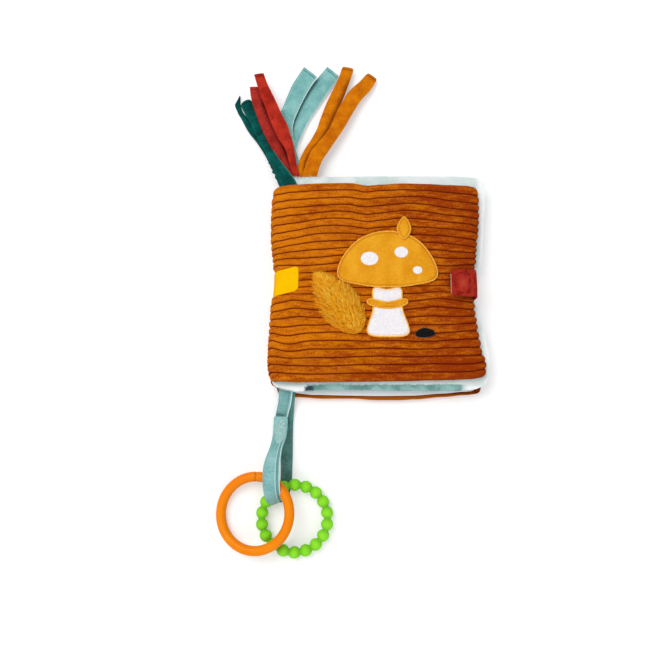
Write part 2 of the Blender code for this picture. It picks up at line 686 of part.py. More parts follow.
FUR_BASE, FUR_TIP = Vector((-19.0, -41.0)), Vector((-52.0, 2.0))
FUR_HALF, FUR_HIGH = 13.5 * MM, 4.2 * MM
FUR_BELOW = 0.12  # where the leaf is cut flat, below its middle, as a share of its height


def fur_leaf(cover_hinge):
    """A plump leaf of long-haired fur, flat below, drawn to a point at its tip."""
    bpy.ops.mesh.primitive_uv_sphere_add(segments=20, ring_count=10, radius=1.0)
    obj = bpy.context.object
    base, tip = FUR_BASE * MM, FUR_TIP * MM
    length = (tip - base).length / 2
    ahead = (tip - base).normalized()
    across = Vector((-ahead.y, ahead.x))
    middle = (base + tip) / 2
    for vertex in obj.data.vertices:
        s, t, h = vertex.co
        narrow = 1 - 0.45 * max(s, 0.0) ** 2
        flat = middle + ahead * s * length + across * t * FUR_HALF * narrow
        height = (max(h, -FUR_BELOW) + FUR_BELOW) * FUR_HIGH
        vertex.co = Vector((ART_X + flat.x, ART_Y + flat.y, ART_LEVEL + height))
    keep(obj, "fur_leaf", "golden_fur", cover_hinge)


def build():
    spine = Vector((HINGE_X, 0.0, SPINE_MID))
    leaf_hinge = hinge_at("leaf_hinge", spine)
    cover_hinge = hinge_at("cover_hinge", spine, leaf_hinge)
    flap_place = (ART_X + FLAP_BASE[0] * MM, ART_Y + FLAP_BASE[1] * MM, ART_LEVEL + VELVET + GAP)
    flap_hinge = hinge_at("flap_hinge", flap_place, cover_hinge)
    foot_x, foot_z = CLOSURE_PATH[-1]
    closure_hinge = hinge_at("closure_hinge", (foot_x, CLOSURE_Y, foot_z))
    strap_hinge = hinge_at("strap_hinge", STRAP_BEND)
    tab_hinge = hinge_at("tab_hinge", STRAP_FOLD, strap_hinge)
    green, orange = green_ring_plane(), orange_ring_plane(green_ring_plane())
    green_hinge = hinge_at("green_ring_axis", green[0], strap_hinge, plane_turn(green[1]))
    orange_hinge = hinge_at("orange_ring_axis", orange[0], strap_hinge, plane_turn(orange[1]))

    corduroy_skins(cover_hinge)
    cover_insides(cover_hinge)
    leaf(leaf_hinge)
    spine_label(cover_hinge)
    loop_top = CLOSURE_PATH[0][1] - CLOSURE_WALL / 2 - 2 * GAP - PATCH
    closure_patch("closure_loop_patch", "red", LOOP_REACH, loop_top, cover_hinge)
    closure_strap(closure_hinge)
    ribbons()
    toy_strap(strap_hinge, tab_hinge)
    ring("orange_ring", "orange_plastic", orange_hinge, orange, RING_RADIUS, RING_TUBE, 48, 10)
    ring("green_bead_ring", "green_silicone", green_hinge, green, BEAD_RADIUS, BEAD_TUBE, 6 * BEADS, 8, BEADS)
    applique(cover_hinge, flap_hinge)
    for plane in (green, orange):
        print("ring centre", [round(c, 5) for c in plane[0]], "axis", [round(c, 5) for c in plane[1]])


BOOK = start()
build()
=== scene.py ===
# %% [markdown]
# # A crinkle cloth book
# This lesson dresses a finished construction model of a baby's cloth book: padded corduroy covers, a plush
# leaf, velvet ribbons, and a strap with two rings. The construction model is a fixed frame with the sizes,
# the joints and plain closed bodies, and it is never moved. Every soft piece is modelled again here with its
# folds, stitches and pile, because those are what makes it look like cloth.

# %% Load the frame
import json
import math
import random

import bpy
import numpy as np
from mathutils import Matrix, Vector, noise


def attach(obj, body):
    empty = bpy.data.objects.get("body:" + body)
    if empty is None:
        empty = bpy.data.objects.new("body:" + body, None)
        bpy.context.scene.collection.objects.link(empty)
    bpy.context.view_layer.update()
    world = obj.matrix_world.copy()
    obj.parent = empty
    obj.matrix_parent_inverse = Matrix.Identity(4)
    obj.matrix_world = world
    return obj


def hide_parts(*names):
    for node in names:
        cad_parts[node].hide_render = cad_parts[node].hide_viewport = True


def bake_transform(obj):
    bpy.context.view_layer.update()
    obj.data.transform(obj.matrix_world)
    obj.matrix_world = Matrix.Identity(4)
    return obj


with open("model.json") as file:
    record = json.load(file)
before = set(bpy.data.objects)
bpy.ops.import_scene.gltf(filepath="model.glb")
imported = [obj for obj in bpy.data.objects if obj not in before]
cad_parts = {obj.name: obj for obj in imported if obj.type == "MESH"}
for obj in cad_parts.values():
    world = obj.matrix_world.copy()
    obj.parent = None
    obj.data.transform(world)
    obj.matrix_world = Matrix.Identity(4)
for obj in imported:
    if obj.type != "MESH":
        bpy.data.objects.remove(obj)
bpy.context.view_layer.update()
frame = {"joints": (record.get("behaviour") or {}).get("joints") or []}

# %% [markdown]
# ## Camera
# The photograph looks down from almost straight above, so the book's foot and the spine's left side show as
# thin slivers. An orthographic camera would show the slivers too, but in it a raised fold doesn't grow. A
# plain pinhole 600 mm from the table does both, and its lens makes the book as wide as in the photograph.

# %% Camera
MM = 0.001
VIEW_TARGET = Vector((-34.0, -28.7, 0.0)) * MM
VIEW_DISTANCE = 600.0 * MM
VIEW_DEPRESSION = math.radians(79.0)
LENS_MM = 41.9

bpy.ops.object.select_all(action="DESELECT")
away = Vector((0.0, -math.cos(VIEW_DEPRESSION), math.sin(VIEW_DEPRESSION)))
bpy.ops.object.camera_add(location=VIEW_TARGET + away * VIEW_DISTANCE,
                          rotation=(math.pi / 2 - VIEW_DEPRESSION, 0.0, 0.0))
camera = bpy.context.object
camera.data.lens = LENS_MM
camera.data.clip_start = 0.01
bpy.context.scene.camera = camera
bpy.context.scene.view_settings.view_transform = "Standard"
print("camera at", [round(c, 3) for c in camera.location])

# %% [markdown]
# ## Shader maths as Python
# A pattern such as worn velvet is a sum of a few noises. In the shader editor that is a web of small Math
# nodes, which is hard to read and to change. Here a small class wraps a socket, and its operators add the
# Math nodes, so that a pattern reads as a formula. All other nodes come from one method, which sets the
# node's own settings first and its inputs after.


# %% A shader value
class Value:
    """What comes out of a shader node."""

    def __init__(self, nodes, socket):
        self.nodes = nodes
        self.socket = socket

    def math(self, operation, *others):
        """A Math node whose first input is this value."""
        return self.nodes.node("ShaderNodeMath", {"operation": operation}, dict(enumerate((self, *others))))

    def __add__(self, other):
        return self.math("ADD", other)

    def __sub__(self, other):
        return self.math("SUBTRACT", other)

    def __rsub__(self, other):
        return self.nodes.node("ShaderNodeMath", {"operation": "SUBTRACT"}, {0: other, 1: self})

    def __mul__(self, other):
        return self.math("MULTIPLY", other)

    __radd__ = __add__
    __rmul__ = __mul__

    def __abs__(self):
        return self.math("ABSOLUTE")

    def larger(self, other):
        return self.math("MAXIMUM", other)

    def above(self, edge, width):
        """0 below the edge, 1 above it, with a soft step of the given width."""
        inputs = {"Value": self, "From Min": edge - width / 2, "From Max": edge + width / 2}
        return self.nodes.node("ShaderNodeMapRange", {"interpolation_type": "SMOOTHSTEP"}, inputs)

    def wave(self, step):
        """A wave from -1 to 1 that repeats every step."""
        return (self * (2 * math.pi / step)).math("SINE")


print("shader values can be added and multiplied")


# %% A node tree
class Nodes:
    """A node tree that is filled by calls."""

    def __init__(self, tree):
        self.tree = tree

    def feed(self, socket, value):
        if isinstance(value, Value):
            self.tree.links.new(value.socket, socket)
        else:
            socket.default_value = value

    def node(self, kind, settings=None, inputs=None, output=0):
        made = self.tree.nodes.new(kind)
        for name, value in (settings or {}).items():
            setattr(made, name, value)
        for name, value in (inputs or {}).items():
            self.feed(made.inputs[name], value)
        return Value(self, made.outputs[output])

    def ray(self, kind):
        """1 for light rays of a kind, such as Camera for what is seen directly, and 0 for all others."""
        return self.node("ShaderNodeLightPath", output=f"Is {kind} Ray")


print("node trees can be filled")


# %% A finish
def linear(red, green, blue):
    """Scene colour from the red, green and blue of a picture, each 0 to 255."""
    parts = [c / 255 for c in (red, green, blue)]
    return tuple(c / 12.92 if c <= 0.04045 else ((c + 0.055) / 1.055) ** 2.4 for c in parts) + (1.0,)


class Finish(Nodes):
    """A material in the making."""

    def __init__(self, name, roughness=0.9, **constants):
        self.material = bpy.data.materials.new(name)
        self.material.use_nodes = True
        super().__init__(self.material.node_tree)
        self.shader = self.tree.nodes["Principled BSDF"]
        self.shader.inputs["Roughness"].default_value = roughness
        for socket, value in constants.items():
            self.shader.inputs[socket.replace("_", " ")].default_value = value

    def place(self):
        return self.node("ShaderNodeTexCoord", output="Object")

    def noise(self, size, detail=2.0, stretch=(1.0, 1.0, 1.0), roughness=0.5):
        """Cloudy noise from 0 to 1 with features of the given size in metres, drawn out along an axis."""
        scale = [1 / (size * s) for s in stretch]
        where = self.node("ShaderNodeMapping", None, {"Vector": self.place(), "Scale": scale})
        return self.node("ShaderNodeTexNoise", None,
                         {"Vector": where, "Scale": 1.0, "Detail": detail, "Roughness": roughness})

    def attribute(self, name):
        return self.node("ShaderNodeAttribute", {"attribute_name": name}, output="Fac")

    def axis(self, index):
        return self.node("ShaderNodeSeparateXYZ", None, {0: self.place()}, index)

    def blend(self, factor, first, second):
        """The first colour where the factor is 0, the second where it is 1."""
        return self.node("ShaderNodeMix", {"data_type": "RGBA"}, {0: factor, 6: first, 7: second}, 2)

    def colour(self, value):
        self.feed(self.shader.inputs["Base Color"], value)

    def bump(self, height, depth, strength=1.0, under=None):
        inputs = {"Height": height, "Distance": depth, "Strength": strength}
        if under:
            inputs["Normal"] = under
        made = self.node("ShaderNodeBump", None, inputs)
        self.feed(self.shader.inputs["Normal"], made)
        return made


print("finishes can be mixed")

# %% [markdown]
# ## Floor and light
# The book lies on white paper in soft daylight. Lamps that light paper to pure white wash out the colours, so
# they stay at the level at which a colour renders about as it is written. The paper adds a little glow that
# is seen but lights nothing, so it reads as white and still takes the shadow. One large lamp at the upper
# left draws soft shadows to the lower right, a weaker one fills the foot, and the sky fills the rest.

# %% The white floor
FLOOR_SIZE, FLOOR_DROP, FLOOR_GLOW = 6.0, 0.15 * MM, 0.30


def white_floor():
    bpy.ops.object.select_all(action="DESELECT")
    bpy.ops.mesh.primitive_plane_add(size=FLOOR_SIZE, location=(0.0, 0.0, -FLOOR_DROP))
    floor = bpy.context.object
    floor.name = "floor"
    paper = Finish("white_paper", roughness=1.0, Specular_IOR_Level=0.0)
    paper.colour((0.80, 0.80, 0.80, 1.0))
    seen = paper.ray("Camera").larger(paper.ray("Glossy").larger(paper.ray("Transmission")))
    glow = paper.node("ShaderNodeEmission", None, {"Color": (1, 1, 1, 1), "Strength": seen * FLOOR_GLOW})
    lit = Value(paper, paper.shader.outputs[0])
    both = paper.node("ShaderNodeAddShader", None, {0: lit, 1: glow})
    paper.feed(paper.tree.nodes["Material Output"].inputs["Surface"], both)
    floor.data.materials.append(paper.material)


white_floor()
print("floor laid")


# %% Lamps and sky
def lamp(name, place, size, watts, towards):
    bpy.ops.object.light_add(type="AREA", location=place)
    light = bpy.context.object
    light.name = name
    light.data.shape = "DISK"
    light.data.size = size
    light.data.energy = watts
    aim = Vector(towards) - Vector(place)
    light.rotation_euler = aim.to_track_quat("-Z", "Y").to_euler()


def white_sky(strength):
    """A white sky that gives some light, with a plain pale backdrop for the camera."""
    world = bpy.data.worlds.new("sky")
    bpy.context.scene.world = world
    world.use_nodes = True
    sky = Nodes(world.node_tree)
    light = sky.node("ShaderNodeBackground", None, {"Color": (1, 1, 1, 1), "Strength": strength})
    backdrop = sky.node("ShaderNodeBackground", None, {"Strength": 1.0})
    seen = sky.ray("Camera").larger(sky.ray("Transmission"))
    mixed = sky.node("ShaderNodeMixShader", None, {0: seen, 1: light, 2: backdrop})
    sky.feed(sky.tree.nodes["World Output"].inputs["Surface"], mixed)


lamp("key_lamp", (-0.62, 0.44, 1.35), 1.2, 12.5, (-0.03, -0.03, 0.0))
lamp("front_lamp", (0.15, -1.10, 0.75), 1.0, 3.8, (0.0, -0.03, 0.0))
white_sky(0.55)
print("lamps placed")

# %% [markdown]
# ## Cloth as a grid
# Covers, ribbons, tape and label are all cut from flat cloth. They could be boxes that are bent into place,
# but then nobody knows any more where a point was on the cloth. So each starts as a grid primitive with one
# row and one column for each line of the cloth. A function lays the crossings where the cloth goes, and a
# Solidify modifier gives it thickness. Number tags keep where a point is on the cloth, and the finishes draw
# stitches and selvedges with them.


# %% Points and tags
def select_only(obj):
    bpy.ops.object.select_all(action="DESELECT")
    obj.select_set(True)
    bpy.context.view_layer.objects.active = obj


def points_of(obj):
    flat = np.empty(len(obj.data.vertices) * 3)
    obj.data.vertices.foreach_get("co", flat)
    return flat.reshape(-1, 3)


def move_points(obj, points):
    obj.data.vertices.foreach_set("co", np.asarray(points, dtype=float).ravel())
    obj.data.update()


def tag(obj, name, values):
    """Store a number for each point, which a material can read."""
    made = obj.data.attributes.new(name, "FLOAT", "POINT")
    made.data.foreach_set("value", np.asarray(values, dtype=np.float32).ravel())


print("points can be moved and tagged")


# %% A laid grid
def lay(across, up, place):
    """A grid primitive laid out by place(u, v), which gives a point and any tags for each crossing."""
    columns, rows = len(across) - 1, len(up) - 1
    bpy.ops.object.select_all(action="DESELECT")
    bpy.ops.mesh.primitive_grid_add(x_subdivisions=columns, y_subdivisions=rows, size=2)
    obj = bpy.context.object
    flat = points_of(obj)
    i = np.rint((flat[:, 0] + 1) / 2 * columns).astype(int)
    j = np.rint((flat[:, 1] + 1) / 2 * rows).astype(int)
    u, v = np.meshgrid(np.asarray(across, float), np.asarray(up, float))
    points, tags = place(u, v)
    move_points(obj, points[j, i])
    for name, values in tags.items():
        tag(obj, name, values[j, i])
    return obj


def normals_of(points):
    """The direction that each crossing of a laid grid faces."""
    across = np.gradient(points, axis=1)
    up = np.gradient(points, axis=0)
    found = np.cross(across, up)
    return found / np.maximum(np.linalg.norm(found, axis=2, keepdims=True), 1e-12)


print("grids can be laid")


# %% Walls, smoothing and edit mode
def apply_modifiers(obj):
    select_only(obj)
    for modifier in list(obj.modifiers):
        bpy.ops.object.modifier_apply(modifier=modifier.name)
    return obj


def wall(obj, thickness, offset=-1.0):
    made = obj.modifiers.new("wall", "SOLIDIFY")
    made.thickness = thickness
    made.offset = offset
    return apply_modifiers(obj)


def smoother(obj):
    made = obj.modifiers.new("smoother", "SUBSURF")
    made.levels = made.render_levels = 1
    return apply_modifiers(obj)


def in_edit_mode(obj, operator, **settings):
    """Run one edit-mode operator on all of a piece."""
    select_only(obj)
    bpy.ops.object.mode_set(mode="EDIT")
    bpy.ops.mesh.select_all(action="SELECT")
    operator(**settings)
    bpy.ops.object.mode_set(mode="OBJECT")
    return obj


def turn_over(obj):
    """Turn every face of a grid round, so that it looks down."""
    return in_edit_mode(obj, bpy.ops.mesh.flip_normals)


print("walls ready")

# %% A finished piece
PIECES = []


def finished(obj, name, finish, body=None, stands_for=(), bends=None):
    """Name a piece, give it its finish, and tie it to its body, or keep it untied where bends are given."""
    obj.name = obj.data.name = name
    obj.data.materials.clear()
    obj.data.materials.append(finish.material)
    select_only(obj)
    bpy.ops.object.transform_apply(location=True, rotation=True, scale=True)
    bpy.ops.object.shade_smooth()
    if stands_for:
        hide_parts(*stands_for)
    if bends:
        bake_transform(obj)
    else:
        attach(obj, body)
    PIECES.append(obj)
    return obj


print("pieces can be finished")


# %% Between two values
def mix(a, b, t):
    return a + (b - a) * t


def ease(t):
    """A soft step from 0 to 1."""
    t = np.clip(t, 0.0, 1.0)
    return t * t * (3 - 2 * t)


def along(keys, at):
    """A smooth value between (place, value) keys, for a whole array of places."""
    places, values = np.array(keys, float).T
    step = np.clip(np.searchsorted(places, at, side="right") - 1, 0, len(places) - 2)
    t = (at - places[step]) / (places[step + 1] - places[step])
    return mix(values[step], values[step + 1], ease(t))


def grain(points, size, seed=0.0):
    """Smooth noise from -1 to 1 for each point, with features of the given size."""
    flat = np.asarray(points, float).reshape(-1, 3) / size
    found = np.array([noise.noise(Vector((x + seed, y - seed, z + 2 * seed))) for x, y, z in flat])
    return found.reshape(np.asarray(points).shape[:-1])


print("half way between 2 and 4, eased:", mix(2, 4, float(ease(0.5))))


# %% Smooth curves
def catmull(a, b, c, d, t):
    """The smooth curve from b to c, given one point before them and one after."""
    return 0.5 * (2 * b + (c - a) * t + (2 * a - 5 * b + 4 * c - d) * t**2 + (3 * b - a - 3 * c + d) * t**3)


def route(points, count):
    """Points at even steps of a smooth curve through the given rows of numbers."""
    rows = np.array(points, dtype=float)
    rows = np.vstack((2 * rows[0] - rows[1], rows, 2 * rows[-1] - rows[-2]))
    at = np.linspace(0, len(points) - 1, count)
    i = np.minimum(at.astype(int), len(points) - 2)
    return catmull(rows[i], rows[i + 1], rows[i + 2], rows[i + 3], (at - i)[:, None])


def lengths_along(line):
    """How far along a line of points each one is."""
    return np.concatenate(([0.0], np.cumsum(np.linalg.norm(np.diff(line, axis=0), axis=1))))


print("a route of 5 points from 3:", route([(0, 0), (1, 1), (2, 0)], 5)[:, 1].round(2))

# %% [markdown]
# ## Corduroy
# Jumbo corduroy is a pile cloth whose ribs, or wales, are about 6 mm wide. Stripes in the colour or a bump
# would do from straight above, but they leave the edges smooth. Here the wales are real ridges, because they
# make the scalloped edges at the spine and at the fore edge. The pile itself is a fine bump with a little
# sheen. The wale tag is 0 in a valley and 1 on a crest, and the valleys are painted darker, as painted shade,
# because no light gets between the piles. The colour also holds painted shade that grows towards the right
# and the foot, and painted light along the back cover's foot.

# %% The corduroy's finish
# Painted shade and painted light: CORD_VALLEY is the valleys' painted shade, CORD_LIT_FOOT the painted light
# on the back cover's foot.
CORD_LIGHT, CORD_DARK, CORD_VALLEY = linear(215, 121, 10), linear(146, 50, 2), linear(102, 14, 0)
CORD_LIT_FOOT = linear(226, 128, 34)


def corduroy_finish():
    cord = Finish("corduroy", roughness=0.95, Specular_IOR_Level=0.08, Sheen_Weight=0.10,
                  Sheen_Roughness=0.45, Sheen_Tint=linear(240, 130, 30))
    cloud = cord.noise(0.020, 3.0, (1.6, 0.5, 1.0))
    brushed = cord.noise(0.0042, 3.0, (2.0, 0.5, 1.0), 0.6)
    speckle = cord.noise(0.0011, 2.0, (0.7, 1.3, 1.0))
    # Painted shade: the colour darkens towards the right and towards the foot.
    to_right = cord.axis(0).above(0.000, 0.20)
    shade_to_foot = 1 - cord.axis(1).above(-0.050, 0.05)
    mottled_tone = cloud * 0.7 + brushed * 1.0 + speckle * 0.7 + to_right * 0.40 + shade_to_foot * 0.14 - 0.17
    pile = cord.blend(mottled_tone.above(1.20, 0.75), CORD_LIGHT, CORD_DARK)
    # Painted light along the back cover's foot: a lighter colour, and less of the valleys' painted shade.
    lit_foot = (1 - cord.axis(1).above(-0.0765, 2.5 * MM)) * (1 - cord.axis(2).above(12 * MM, 2 * MM))
    pile = cord.blend(lit_foot * 0.8, pile, CORD_LIT_FOOT)
    crest = cord.attribute("wale") + (brushed - 0.5) * 0.30 + lit_foot * 0.5
    cord.colour(cord.blend(crest.above(0.42, 0.6), CORD_VALLEY, pile))
    fine = cord.bump(cord.noise(0.00045, 3.0, (0.8, 1.6, 1.0)), 0.35 * MM, 0.55)
    cord.bump(cord.noise(0.0030, 2.0, (0.5, 1.6, 1.0)), 0.5 * MM, 0.35, fine)
    return cord


corduroy = corduroy_finish()
print("corduroy finish ready")

# %% [markdown]
# ### The covers' shape
# A cover is a smooth cushion with wales on it. A cloth simulation would make a cushion too, but not one with
# the photograph's outline, so it is laid by rule. The outline is four edges, in millimetres: the spine
# and the fore edge as x for a given y, and the foot and the head as y for a given x. Both covers have the
# spine's edge, because one cloth runs from cover to cover. The wales rise and sag as they do on the real
# cloth, which is pulled towards the label, the strap and the seams.

# %% The covers' outlines
SPINE_MID = 12.5 * MM  # the level at which the upper cover's cloth meets the lower one's
HINGE_X = -81.6 * MM
SPINE_REACH = 4.2 * MM  # from the spine's middle to where the cover lies flat, seen from above
SPINE_TURN = 0.22  # how far u runs past -1 while the cloth turns over the spine
ROUND_CORNER = 2.6 * MM
SPINE_EDGE = ((-62, -80.2), (-55, -81.2), (-45, -80.9), (-30, -80.2), (-15, -79.4), (-5, -78.5), (10, -77.8),
              (22, -77.6), (36, -78.8), (44, -79.8), (60, -80.0))
FRONT_LEFT = ((-70, -75.6), (-67, -78.0)) + SPINE_EDGE + ((75, -79.7), (81, -78.6), (84.5, -76.8))
FRONT_RIGHT = ((-69, 77.6), (-64, 79.4), (-58, 79.4), (-45, 76.0), (-30, 73.8), (-14, 72.2), (12, 72.2),
               (24, 74.6), (41, 75.6), (50, 77.2), (65, 78.2), (78, 78.6), (83, 77.5))
FRONT_HEAD = ((-82, 82.2), (-76, 83.0), (-65, 84.4), (-43, 85.5), (-21, 85.7), (-6, 83.6), (3, 84.4),
              (22, 85.4), (39, 85.0), (55, 84.2), (69, 83.8), (79, 82.6))
FRONT_FOOT = ((-81, -69.2), (-60, -70.0), (-20, -69.6), (20, -69.2), (40, -68.6), (55, -68.2), (69, -67.6),
              (77, -66.4), (81, -65.0))
BACK_LEFT = ((-82, -64.0), (-78, -70.0), (-75.2, -74.2), (-72.5, -76.6), (-68.5, -78.7)) + SPINE_EDGE + (
    (72, -79.6), (80, -78.0))
BACK_RIGHT = ((-82, 76.6), (-70, 78.4), (-45, 77.6), (-12, 72.6), (20, 72.6), (45, 77.0), (80, 79.0))
BACK_HEAD = ((-80, 80.0), (0, 80.4), (80, 80.0))
BACK_FOOT = ((-80, -78.6), (-60, -79.4), (-40, -80.5), (-20, -80.4), (0, -81.6), (16, -81.6), (28, -81.0),
             (50, -79.2), (66, -77.8), (80, -76.6))
print("front cover:", FRONT_RIGHT[5][0] - SPINE_EDGE[5][0], "mm wide at its waist")


# %% The sway of the wales
def front_sway(x, y):
    """How far a wale of the front cover is moved up or down at (x, y), in metres."""
    high = ease((y - 12 * MM) / (35 * MM))
    left = -4.2 * ease((-26 * MM - x) / (56 * MM)) * high
    right = -4.0 * ease((x - 18 * MM) / (62 * MM)) * ease((y - 15 * MM) / (28 * MM))
    dip_x = mix(-14.5 * MM, -6.5 * MM, ease((y - 73 * MM) / (12 * MM)))
    dip = -2.0 * np.exp(-np.abs(x - dip_x) / (8 * MM)) * ease((y - 48 * MM) / (26 * MM))
    low_left = ease((-38 * MM - x) / (28 * MM)) * ease(-y / (10 * MM)) * ease((y + 56 * MM) / (16 * MM))
    ripple = 1.0 * np.sin(x / (6.0 * MM) + y / (13 * MM)) * low_left
    flick = 1.3 * ease((-68 * MM - x) / (14 * MM)) * ease((-22 * MM - y) / (14 * MM))
    pulled = 1.2 * np.exp(-(((x - 48 * MM) / (16 * MM)) ** 2)) * np.sin((y - 4 * MM) / (10 * MM))
    pulled = pulled * ease((30 * MM - np.abs(y)) / (20 * MM))
    wander = 0.55 * np.sin(x / (17 * MM) + y / (11 * MM)) + 0.40 * np.sin(x / (8.3 * MM) - y / (7 * MM) + 1.0)
    return (left + right + dip + ripple + flick - pulled + wander) * MM


def back_sway(x, y):
    return (0.7 * np.sin(x / (21 * MM) + y / (13 * MM)) + 0.3 * np.sin(x / (8 * MM) - y / (9 * MM))) * MM


print("the wales sag at the dip, mm:", round(float(front_sway(-10 * MM, 76 * MM)) * 1000, 1))


# %% A cover
def in_metres(keys):
    return tuple(tuple(c * MM for c in key) for key in keys)


def crown(u, v, power=5.0, root=0.45):
    """1 over most of a pad, falling to 0 at its rim."""
    return np.maximum(0.0, (1 - np.abs(u) ** power) * (1 - np.abs(v) ** power)) ** root


class Cover:
    """One side of the book: its outline, its levels and how its wales sway."""

    def __init__(self, left, right, head, foot, seam, face, wales, sway, rim):
        self.left, self.right, self.head, self.foot = map(in_metres, (left, right, head, foot))
        self.seam, self.face, self.wales, self.sway, self.rim = seam, face, wales, sway, rim
        self.up = 1.0 if face > seam else -1.0

    def spot(self, u, v):
        """The place seen from above of (u, v), and how far the cloth has turned over the spine there."""
        low, high = np.mean([k[1] for k in self.foot]), np.mean([k[1] for k in self.head])
        y = mix(low, high, (v + 1) / 2)
        past = ROUND_CORNER - np.minimum(y - low, high - y)
        inset = np.where(past > 0, ROUND_CORNER - np.sqrt(np.maximum(0, ROUND_CORNER**2 - past**2)), 0.0)
        turn = np.clip((-1 - u) / SPINE_TURN, 0.0, 1.0) * math.pi / 2
        fold = along(self.left, y) + SPINE_REACH
        x = mix(fold, along(self.right, y) - inset, (np.maximum(u, -1) + 1) / 2) - SPINE_REACH * np.sin(turn)
        swayed = self.sway(x, y) * (1 - np.abs(v) ** 6)
        return x, mix(along(self.foot, x), along(self.head, x), (v + 1) / 2) + swayed, turn

    def smooth(self, u, v):
        """The cover without its wales: it rises from the spine's middle and turns over onto the face."""
        x, y, turn = self.spot(u, v)
        high = self.seam + (self.face - self.seam) * crown(np.maximum(u, 0.0), v)
        loose = ease((-68 * MM - y) / (8 * MM)) if self.up < 0 else 0.0
        middle = mix(SPINE_MID + self.up * 0.1 * MM, high, loose)
        return np.stack((x, y, mix(middle, high, np.maximum(np.cos(turn), 0) ** 0.85)), axis=-1)

    def inside(self, x, y):
        """The level just behind the cloth at a place seen from above."""
        fold, foot, head = along(self.left, y) + SPINE_REACH, along(self.foot, x), along(self.head, x)
        u = np.clip(2 * (x - fold) / (along(self.right, y) - fold) - 1, 0, 1)
        v = np.clip(2 * (y - foot) / (head - foot) - 1, -1, 1)
        return self.seam + (self.face - self.seam) * crown(u, v) - self.up * 1.15 * MM


print("the crown half way to the rim:", round(float(crown(0.5, 0.5)), 3))

# %% The two covers
FACE_DROP = 1.5 * MM  # how far the wales' crests stand above the cloth between them
front = Cover(FRONT_LEFT, FRONT_RIGHT, FRONT_HEAD, FRONT_FOOT, seam=19.2 * MM, face=24.9 * MM - FACE_DROP,
              wales=26, sway=front_sway, rim=0.6)
back = Cover(BACK_LEFT, BACK_RIGHT, BACK_HEAD, BACK_FOOT, seam=5.0 * MM, face=FACE_DROP - 0.4 * MM,
             wales=25, sway=back_sway, rim=0.7)
print("book, mm thick:", round((front.face - back.face + 2 * FACE_DROP) * 1000, 1))

# %% [markdown]
# ### Weaving the wales in
# Each wale is nine rows of the grid, close together in the valley and wide over the crest, so that the ridges
# stay round with few faces. A displace modifier could raise them straight up. Here each point is raised along
# the cloth's own normal, so that the wales go round the edges. The label and the strap hold them down.

# %% Rows, columns and what presses on them
WALE_STEPS = (0.0, 0.035, 0.1, 0.22, 0.38, 0.62, 0.78, 0.9, 0.965)
LABEL_AREA = (-90.0, -59.0, 6.5, 10.5)  # from x, to x, the middle's y and half the height, in millimetres
STRAP_AREA = (53.5, 90.0, 4.0, 11.5)


def rows_of(wales):
    return np.array([-1 + 2 * (k + step) / wales for k in range(wales) for step in WALE_STEPS] + [1.0])


def columns_of_cover():
    spine = -1 - SPINE_TURN + np.linspace(0, 1, 15) * SPINE_TURN
    rim = 1 - np.array([0.10, 0.075, 0.055, 0.04, 0.028, 0.018, 0.010, 0.004, 0.0])
    return np.concatenate((spine, np.linspace(-0.985, 0.88, 112), rim))


def held_down(points):
    """1 where a label or strap presses the wales down, falling to 0 round it."""
    x, y = points[..., 0], points[..., 1]
    pressed = np.zeros(x.shape)
    for x_low, x_high, middle, half in (LABEL_AREA, STRAP_AREA):
        outside = np.maximum(np.maximum(x_low * MM - x, x - x_high * MM), np.abs(y - middle * MM) - half * MM)
        pressed = np.maximum(pressed, 1 - ease(outside / (3 * MM) + 0.5))
    return pressed


print("front cover's cloth:", len(columns_of_cover()), "columns,", len(rows_of(front.wales)), "rows")


# %% The corduroy skins
def corduroy_skin(cover, press):
    def place(u, v):
        points = cover.smooth(u, v)
        out = normals_of(points)
        phase = (v + 1) / 2 * cover.wales % 1.0
        dome = np.maximum(0.0, 1 - np.abs(2 * phase - 1) ** 2.3) ** 0.65
        near_edge = np.maximum(np.clip((-1 - u) / SPINE_TURN, 0, 1), ease((u - 0.90) / 0.08))
        dome = mix(dome, 1.12 * (1 - (2 * phase - 1) ** 2), 0.85 * near_edge)
        rim = np.minimum(1.0, 3.2 * crown(np.maximum(u, 0.0), v) + cover.rim)
        plush = 1 + 0.10 * grain(points, 9 * MM, 3.0) + 0.05 * grain(points, 2.5 * MM, 7.0)
        over = 1 + 0.35 * np.clip((-1 - u) / SPINE_TURN, 0, 1)
        lift = FACE_DROP * dome * rim * over * plush * (1 - 0.8 * held_down(points) * press)
        points = points + out * (lift * cover.up)[..., None]
        points[..., 2] += 0.25 * MM * grain(points, 26 * MM, 11.0) * cover.up
        if cover.up < 0:
            points[..., 2] = np.maximum(points[..., 2], 0.0)
        return points, {"wale": dome * (0.55 + 0.45 * rim), "across": u, "along": v}

    skin = lay(columns_of_cover(), rows_of(cover.wales), place)
    if cover.up < 0:
        turn_over(skin)
    return wall(skin, 0.8 * MM)


upper_fold = ("leaf", "front_cover", (HINGE_X, 0, SPINE_MID), (HINGE_X, 0, 18.5 * MM))
lower_fold = ("back_cover", "leaf", (HINGE_X, 0, 6.0 * MM), (HINGE_X, 0, SPINE_MID))
front_skin = finished(corduroy_skin(front, 1.0), "front_cover_cloth", corduroy,
                      stands_for=("front_cover_corduroy",), bends=upper_fold)
back_skin = finished(corduroy_skin(back, 0.9), "back_cover_cloth", corduroy,
                     stands_for=("back_cover_corduroy",), bends=lower_fold)
print("corduroy:", len(front_skin.data.polygons), "and", len(back_skin.data.polygons), "faces")

# %% [markdown]
# ## Padded insides
# Behind each corduroy skin is a thin pad: lining, wadding and crinkle film, sewn together at the rim. The
# leaf between the covers is a pad of its own. A pad could be a rounded box, but real wadding swells unevenly.
# So each is a flat closed grid that a short cloth simulation blows up while its sewn rim is held. After that
# it is kept inside the space between its neighbours. The crinkle film shows as small flat dents. The lining
# is plain cotton. The leaf is mint plush with a watery teal print along its foot. An image could hold the
# print, but noises with a ragged edge make it in any size, so it is a formula.

